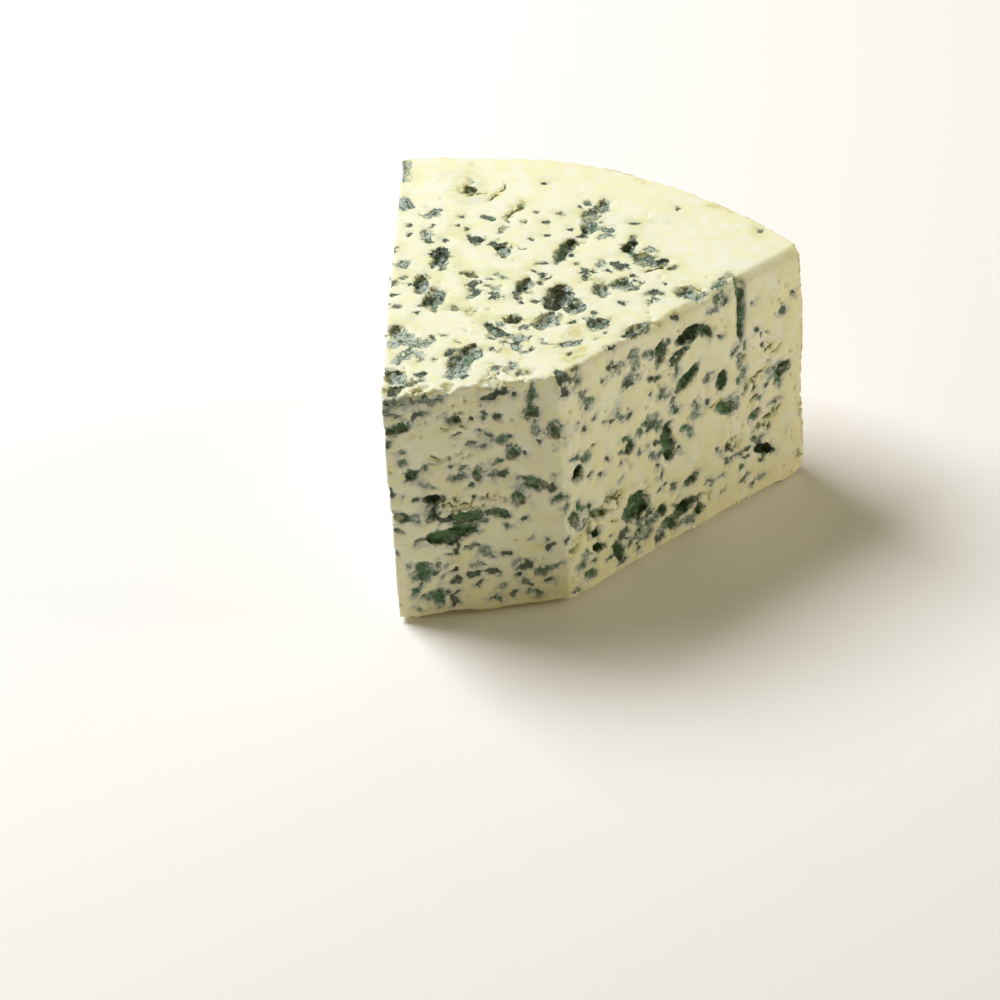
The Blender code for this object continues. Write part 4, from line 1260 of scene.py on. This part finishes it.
haze_grey = paste.mix(upright, HAZE_TOP, HAZE_UPRIGHT)
blotches = paste_step(paste_noise("blotches"), "blotches")
by_cut = paste_step(upright, "tinge by cut")
colour = paste.layer(colour, PASTE_TINGED, paste_step(frayed, "tinge"), blotches, by_cut)
thick = paste_step(paste.add(frayed, mottle, HAZE_FRAY), "haze")
colour = paste.layer(colour, haze_grey, thick, paste_step(upright, "haze by cut"))
one_side = paste_step(paste_noise("one side"), "one side")
rim_side, by_cut = paste_step(one_side, "olive side"), paste_step(upright, "olive by cut")
colour = paste.layer(colour, OLIVE_RIM, paste_step(frayed, "olive"), rim_side, by_cut)
ghostly = paste_step(paste.sums('ADD', broad, fine), "ghost")
colour = paste.layer(colour, haze_grey, given["Ghost"], ghostly, GHOST_SHARE)
print("paste around the mould:", len(paste.tree.nodes), "nodes so far")

# %% [markdown]
# Inside a patch the tone runs from grey at its edge, where the mould is young and thin, to slate
# or deep green in its middle, with nearly black spots. A pocket is lined with fuzzy mould, greyer
# on the top and greener on the upright cuts, and paler than the mould on the cuts: painted light,
# so the pockets don't go black in their own shade. The dark marks lie over all of that, painted
# shade where they lie at the bottom of a pocket, and on the top the ochre stains lie over it too.

# %% Tones of the mould
CORE_FRAY = 4.0
DARK_SHARE = 0.93

core = paste_step(paste.add(frayed, mottle, CORE_FRAY), "core")
slate = paste.mix(paste_step(mottle, "pale slate"), SLATE, SLATE_PALE)
heart = paste.mix(given["Green"], slate, MOULD_GREEN)
skin = paste.mix(upright, SKIN_TOP, SKIN_UPRIGHT)
mould = paste.mix(core, skin, heart)
mould = paste.layer(mould, DARK_MOULD_AND_SHADE, paste_step(mottle, "dark spots"), core)
pocket = paste.mix(upright, LIT_POCKET_TOP, LIT_POCKET_UPRIGHT)
fuzzy = paste.sums('ADD', broad, mottle)
pocket = paste.layer(pocket, skin, paste_step(fuzzy, "grey in pocket"))
pocket = paste.layer(pocket, DARK_MOULD_AND_SHADE, paste_step(fuzzy, "dark in pocket"))
# Deeper than about a millimetre the paler lining takes over, as painted light.
mould = paste.layer(mould, pocket, paste_step(given["Hollow"], "pocket"))
# The dark marks: dark mould, and painted shade where they lie deep in a pocket.
mould = paste.layer(mould, DARK_MOULD_AND_SHADE, given["Dark"], DARK_SHARE)
mould = paste.layer(mould, OCHRE, ochre, paste_step(upright, "stain by cut"))
colour = paste.layer(colour, mould, mask)
print("tones of the mould:", len(paste.tree.nodes), "nodes so far")

# %% [markdown]
# Thin dark lines wriggle through the mould, the folds of its skin, and many patches have such a
# line along one side of their outline: dark mould at the edge, with painted shadow, as if the edge
# overhung. Both are strongest on the top. Cracks are dark olive, partly stain and partly painted
# shade in the crack, with a tinged rim.

# %% Folds, outlines and cracks
OUTLINE_SHADOW_PLACE = 0.25
LINE_SHARE = 0.8
CRACK_FRAY = 0.6

by_cut = paste_step(upright, "line by cut")
wrinkle = paste_step(paste.sums('ABSOLUTE', paste_noise("wrinkles")), "wrinkle")
wrinkle = paste.times(wrinkle, paste_step(frayed, "wrinkled"), by_cut)
# A line along one side of each patch's edge: dark mould, with painted shadow.
outline_and_shadow = paste.sums('ABSOLUTE', paste.sums('SUBTRACT', frayed, OUTLINE_SHADOW_PLACE))
outline_and_shadow = paste.times(paste_step(outline_and_shadow, "outline_and_shadow"), one_side, by_cut)
line = paste.sums('MAXIMUM', wrinkle, outline_and_shadow)
colour = paste.layer(colour, DARK_MOULD_AND_SHADE, line, LINE_SHARE)
colour = paste.layer(colour, PASTE_TINGED, paste_step(given["Crack"], "crack rim"))
# Painted shade with some stain: the cracks go dark olive.
crack_stain_and_shade = paste_step(paste.add(given["Crack"], fine, CRACK_FRAY), "crack")
colour = paste.layer(colour, CRACK_OLIVE_AND_SHADE, crack_stain_and_shade)
print("folds, outlines and cracks:", len(paste.tree.nodes), "nodes so far")

# %% [markdown]
# The fine relief goes into a bump: fuzz on the mould, the folds as grooves, and on the upright
# cuts the level lines that the wire leaves as it is drawn through.

# %% Fine relief of the paste
WIRE_STRETCH = (0.1, 0.1, 1)
WIRE_NOISE = (0.9, 3, 0.6)
MOTTLE_RISE, FUZZ_RISE, PASTE_RISE, LINE_RISE, WIRE_RISE = 2.0, 0.4, 0.1, -0.35, 0.12

drawn = paste.put('ShaderNodeMapping', {"Vector": point, "Scale": WIRE_STRETCH}).outputs[0]
wire_lines = paste.times(paste.lumps(drawn, *WIRE_NOISE), upright)
fuzz = paste.times(paste_noise("fuzz"), mask)
fuzz = paste.add(fuzz, paste.times(mottle, mask), MOTTLE_RISE)
height = paste.add(paste.times(fine, PASTE_RISE), fuzz, FUZZ_RISE)
height = paste.add(height, line, LINE_RISE)
height = paste.add(height, wire_lines, WIRE_RISE)
for socket, value in (("Colour", colour), ("Mould mask", mask), ("Height", height)):
    paste.tree.links.new(value, result[socket])
print("marbled paste:", len(paste.tree.nodes), "nodes")

# %% [markdown]
# ## The rind
#
# The rind is the dried skin of the cheese: beige, streaked by the cloth and the shelf, with a pale
# bloom, bluish patches and dark specks of wild mould. It is thin, so on the cuts it shows only as
# a fine line along the rim. A group of its own keeps it apart from the paste.

# %% Weathered rind
RIND_BEIGE = (0.71, 0.61, 0.43, 1)
RIND_PALE = (0.84, 0.79, 0.61, 1)
RIND_TAUPE = (0.52, 0.41, 0.28, 1)
RIND_SPECK = (0.075, 0.055, 0.035, 1)
RIND_BLUE = (0.49, 0.50, 0.42, 1)
STREAK_FLATNESS = (1, 1, 2.5)
STREAK_NOISE, STREAK_STEP = (9, 4, 0.6), (-0.2, 0.2)
SCALE_NOISE, BLOOM_STEP = (2.2, 3, 0.6), (-0.06, 0.3, 0, 0.85)
PATCH_NOISE, BLUE_STEP = (22, 3, 0.6), (0.06, 0.3, 0, 0.5)
SPECK_NOISE, SPECK_STEP = (1.1,), (-0.21, -0.27, 0, 0.7)
SPECK_RISE = 0.5

rind, given, result = new_recipe_group(
    "weathered_rind",
    [("Point", "Vector")],
    [("Colour", "Color"), ("Height", "Float")],
)
point = given["Point"]
flattened = rind.put('ShaderNodeMapping', {"Vector": point, "Scale": STREAK_FLATNESS}).outputs[0]
streak = rind.lumps(flattened, *STREAK_NOISE)
scale = rind.lumps(point, *SCALE_NOISE)
speck = rind.lumps(point, *SPECK_NOISE)
patchy = rind.lumps(point, *PATCH_NOISE)
colour = rind.mix(rind.step(streak, *STREAK_STEP), RIND_TAUPE, RIND_BEIGE)
for field, step, tone in (
    (rind.sums('ADD', scale, patchy), BLOOM_STEP, RIND_PALE),
    (rind.sums('SUBTRACT', patchy, scale), BLUE_STEP, RIND_BLUE),
    (speck, SPECK_STEP, RIND_SPECK),
):
    colour = rind.layer(colour, tone, rind.step(field, *step))
height = rind.sums('ADD', scale, rind.times(speck, SPECK_RISE))
rind.tree.links.new(colour, result["Colour"])
rind.tree.links.new(height, result["Height"])
print("weathered rind:", len(rind.tree.nodes), "nodes")

# %% [markdown]
# ## Finishing the wedge
#
# One material holds both, because they meet in a line that is finer than the faces. The rind's
# share comes from the distance to the rind. The paste lets a little light through, and the mould
# is drier than the paste. Light that spreads in the paste is set on the shader itself.

# %% Material of the wedge
LINE_NOISE, LINE_FRAY, LINE_STEP = 1.6, 0.9, (-0.75, -0.45)
PASTE_ROUGHNESS, MOULD_ROUGHNESS, RIND_ROUGHNESS = 0.5, 0.8, 0.78
BUMP = {"Distance": 0.35 * MM, "Strength": 0.8}
SHADER_VALUES = {
    "Subsurface Weight": 0.25,
    "Subsurface Radius": (1.0, 0.75, 0.35),
    "Subsurface Scale": 1.6 * MM,
    "Specular IOR Level": 0.35,
}


def cheese_material(name):
    """Paste, mould and rind in one material."""
    material = bpy.data.materials.new(name)
    material.use_nodes = True
    recipe = Recipe(material.node_tree)
    shader = material.node_tree.nodes["Principled BSDF"]
    point = recipe.put('ShaderNodeTexCoord').outputs["Object"]
    sockets = {"Point": point}
    for fact in TONE_FACTS:
        layer = recipe.put('ShaderNodeAttribute', attribute_name=fact, attribute_type='GEOMETRY')
        sockets[fact.capitalize()] = layer.outputs["Fac"]
    marbled = recipe.put('ShaderNodeGroup', node_tree=paste.tree)
    weathered = recipe.put('ShaderNodeGroup', node_tree=rind.tree)
    for socket, value in sockets.items():
        recipe.tree.links.new(value, marbled.inputs[socket])
    recipe.tree.links.new(point, weathered.inputs["Point"])

    ragged = recipe.add(sockets["Rind"], recipe.lumps(point, LINE_NOISE), LINE_FRAY)
    on_rind = recipe.step(ragged, *LINE_STEP)
    colour = recipe.mix(on_rind, marbled.outputs["Colour"], weathered.outputs["Colour"])
    rough = recipe.step(marbled.outputs["Mould mask"], 0, 1, PASTE_ROUGHNESS, MOULD_ROUGHNESS)
    rough = recipe.step(on_rind, 0, 1, rough, RIND_ROUGHNESS)
    height = recipe.step(on_rind, 0, 1, marbled.outputs["Height"], weathered.outputs["Height"])
    bump = recipe.put('ShaderNodeBump', {"Height": height, **BUMP})
    recipe.tree.links.new(colour, shader.inputs["Base Color"])
    recipe.tree.links.new(rough, shader.inputs["Roughness"])
    recipe.tree.links.new(bump.outputs["Normal"], shader.inputs["Normal"])
    for socket, value in SHADER_VALUES.items():
        shader.inputs[socket].default_value = value
    return material


cheese.data.materials.append(cheese_material("blue_cheese"))
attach(cheese, "root")
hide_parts("blue_cheese")

# %% [markdown]
# ## Crumbs
#
# The knife pulls crumbs off the brittle edges, and they stick where they land: most along the
# edge between the top and the front, some on the lower edges, at the rim and in the torn curd. A
# particle system would strew them, but real meshes are what leaves Blender with the model. So each
# crumb is a small ball, squashed and knocked out of round by noise, and half sunk into the nearest
# point of the cheese. They are joined into one piece, in the same material, and their attributes
# say that they are plain paste.

# %% One crumb
CRUMB_SEED = 5
CRUMB_SIZES = (0.8, 2.3)
CRUMB_WIDTHS, CRUMB_HEIGHTS = (0.6, 0.9), (0.5, 0.8)
CRUMB_TILTS = (-0.4, 0.4)
CRUMB_KNOCK, CRUMB_LUMP = 0.28, 0.55
PLAIN_PASTE = {"mould": -MOULD_FAR, "crack": -MOULD_FAR, "rind": -RIND_FAR, "torn": 1}


def make_crumb(number, place, size, draw):
    """One crumb of paste, sunk into the cheese near a place."""
    near = cheese.closest_point_on_mesh(Vector(place) * MM)[1]
    bpy.ops.mesh.primitive_ico_sphere_add(subdivisions=3, radius=size / 2 * MM, location=near)
    crumb = bpy.context.object
    crumb.scale = (1, draw.uniform(*CRUMB_WIDTHS), draw.uniform(*CRUMB_HEIGHTS))
    tilts = draw.uniform(*CRUMB_TILTS), draw.uniform(*CRUMB_TILTS)
    crumb.rotation_euler = (*tilts, draw.uniform(0, math.pi))
    bpy.ops.object.transform_apply(location=True, rotation=True, scale=True)
    points = get_points(crumb)
    knocked = points + CRUMB_KNOCK * size * wander(points, CRUMB_LUMP * size, number)
    knocked[:, 2] = np.maximum(knocked[:, 2], 0)
    set_points(crumb, knocked)
    return crumb


# %% [markdown]
# Each run of crumbs is given by its cut, by its limits along and up that cut in millimetres, and
# by how many crumbs it has.

# %% Crumbs
CRUMB_RUNS = (
    ("front", (1, 57), (94, 96), 20),
    ("right", (30, 104), (1.5, 3), 7),
    ("right", (105.5, 107), (25, 30), 5),
    ("right", (104.5, 106.5), (7, 11), 7),
    ("right", (106, 107), (84, 93), 2),
    ("right", (12, 24), (28, 34), 6),
    ("front", (16, 30), (43, 49), 7),
    ("left", (60, 138), (93.5, 96), 9),
)

draw = random.Random(CRUMB_SEED)
crumbs = []
for name, (start, end), (low, high), count in CRUMB_RUNS:
    cut = CUTS[name]
    for _ in range(count):
        along, up = draw.uniform(start, end), draw.uniform(low, high)
        place = cut.origin + cut.along * along + cut.up * up
        size = CRUMB_SIZES[0] + (CRUMB_SIZES[1] - CRUMB_SIZES[0]) * draw.random() ** 2
        crumbs.append(make_crumb(len(crumbs), place, size, draw))

for crumb in crumbs:
    crumb.select_set(True)
bpy.ops.object.join()
loose = bpy.context.object
loose.name = "crumbs"
bpy.ops.object.shade_smooth()
loose.select_set(False)
count = len(loose.data.vertices)
plain = {fact: np.full(count, PLAIN_PASTE.get(fact, 0.0)) for fact in TONE_FACTS}
write_attributes(loose, plain)
loose.data.materials.append(cheese.data.materials[0])
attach(loose, "root")
print(len(crumbs), "crumbs with", len(loose.data.polygons), "faces")

# %% [markdown]
# ## Checking the size
#
# The finished wedge has to fill the same box as the solid, give or take the relief, so the growth
# of its box past the solid's is worked out.

# %% Finish
made_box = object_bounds()
grown = (np.array(made_box) - np.array(cad_box)) / MM
print("the box grew by", *grown.round(2), "mm")
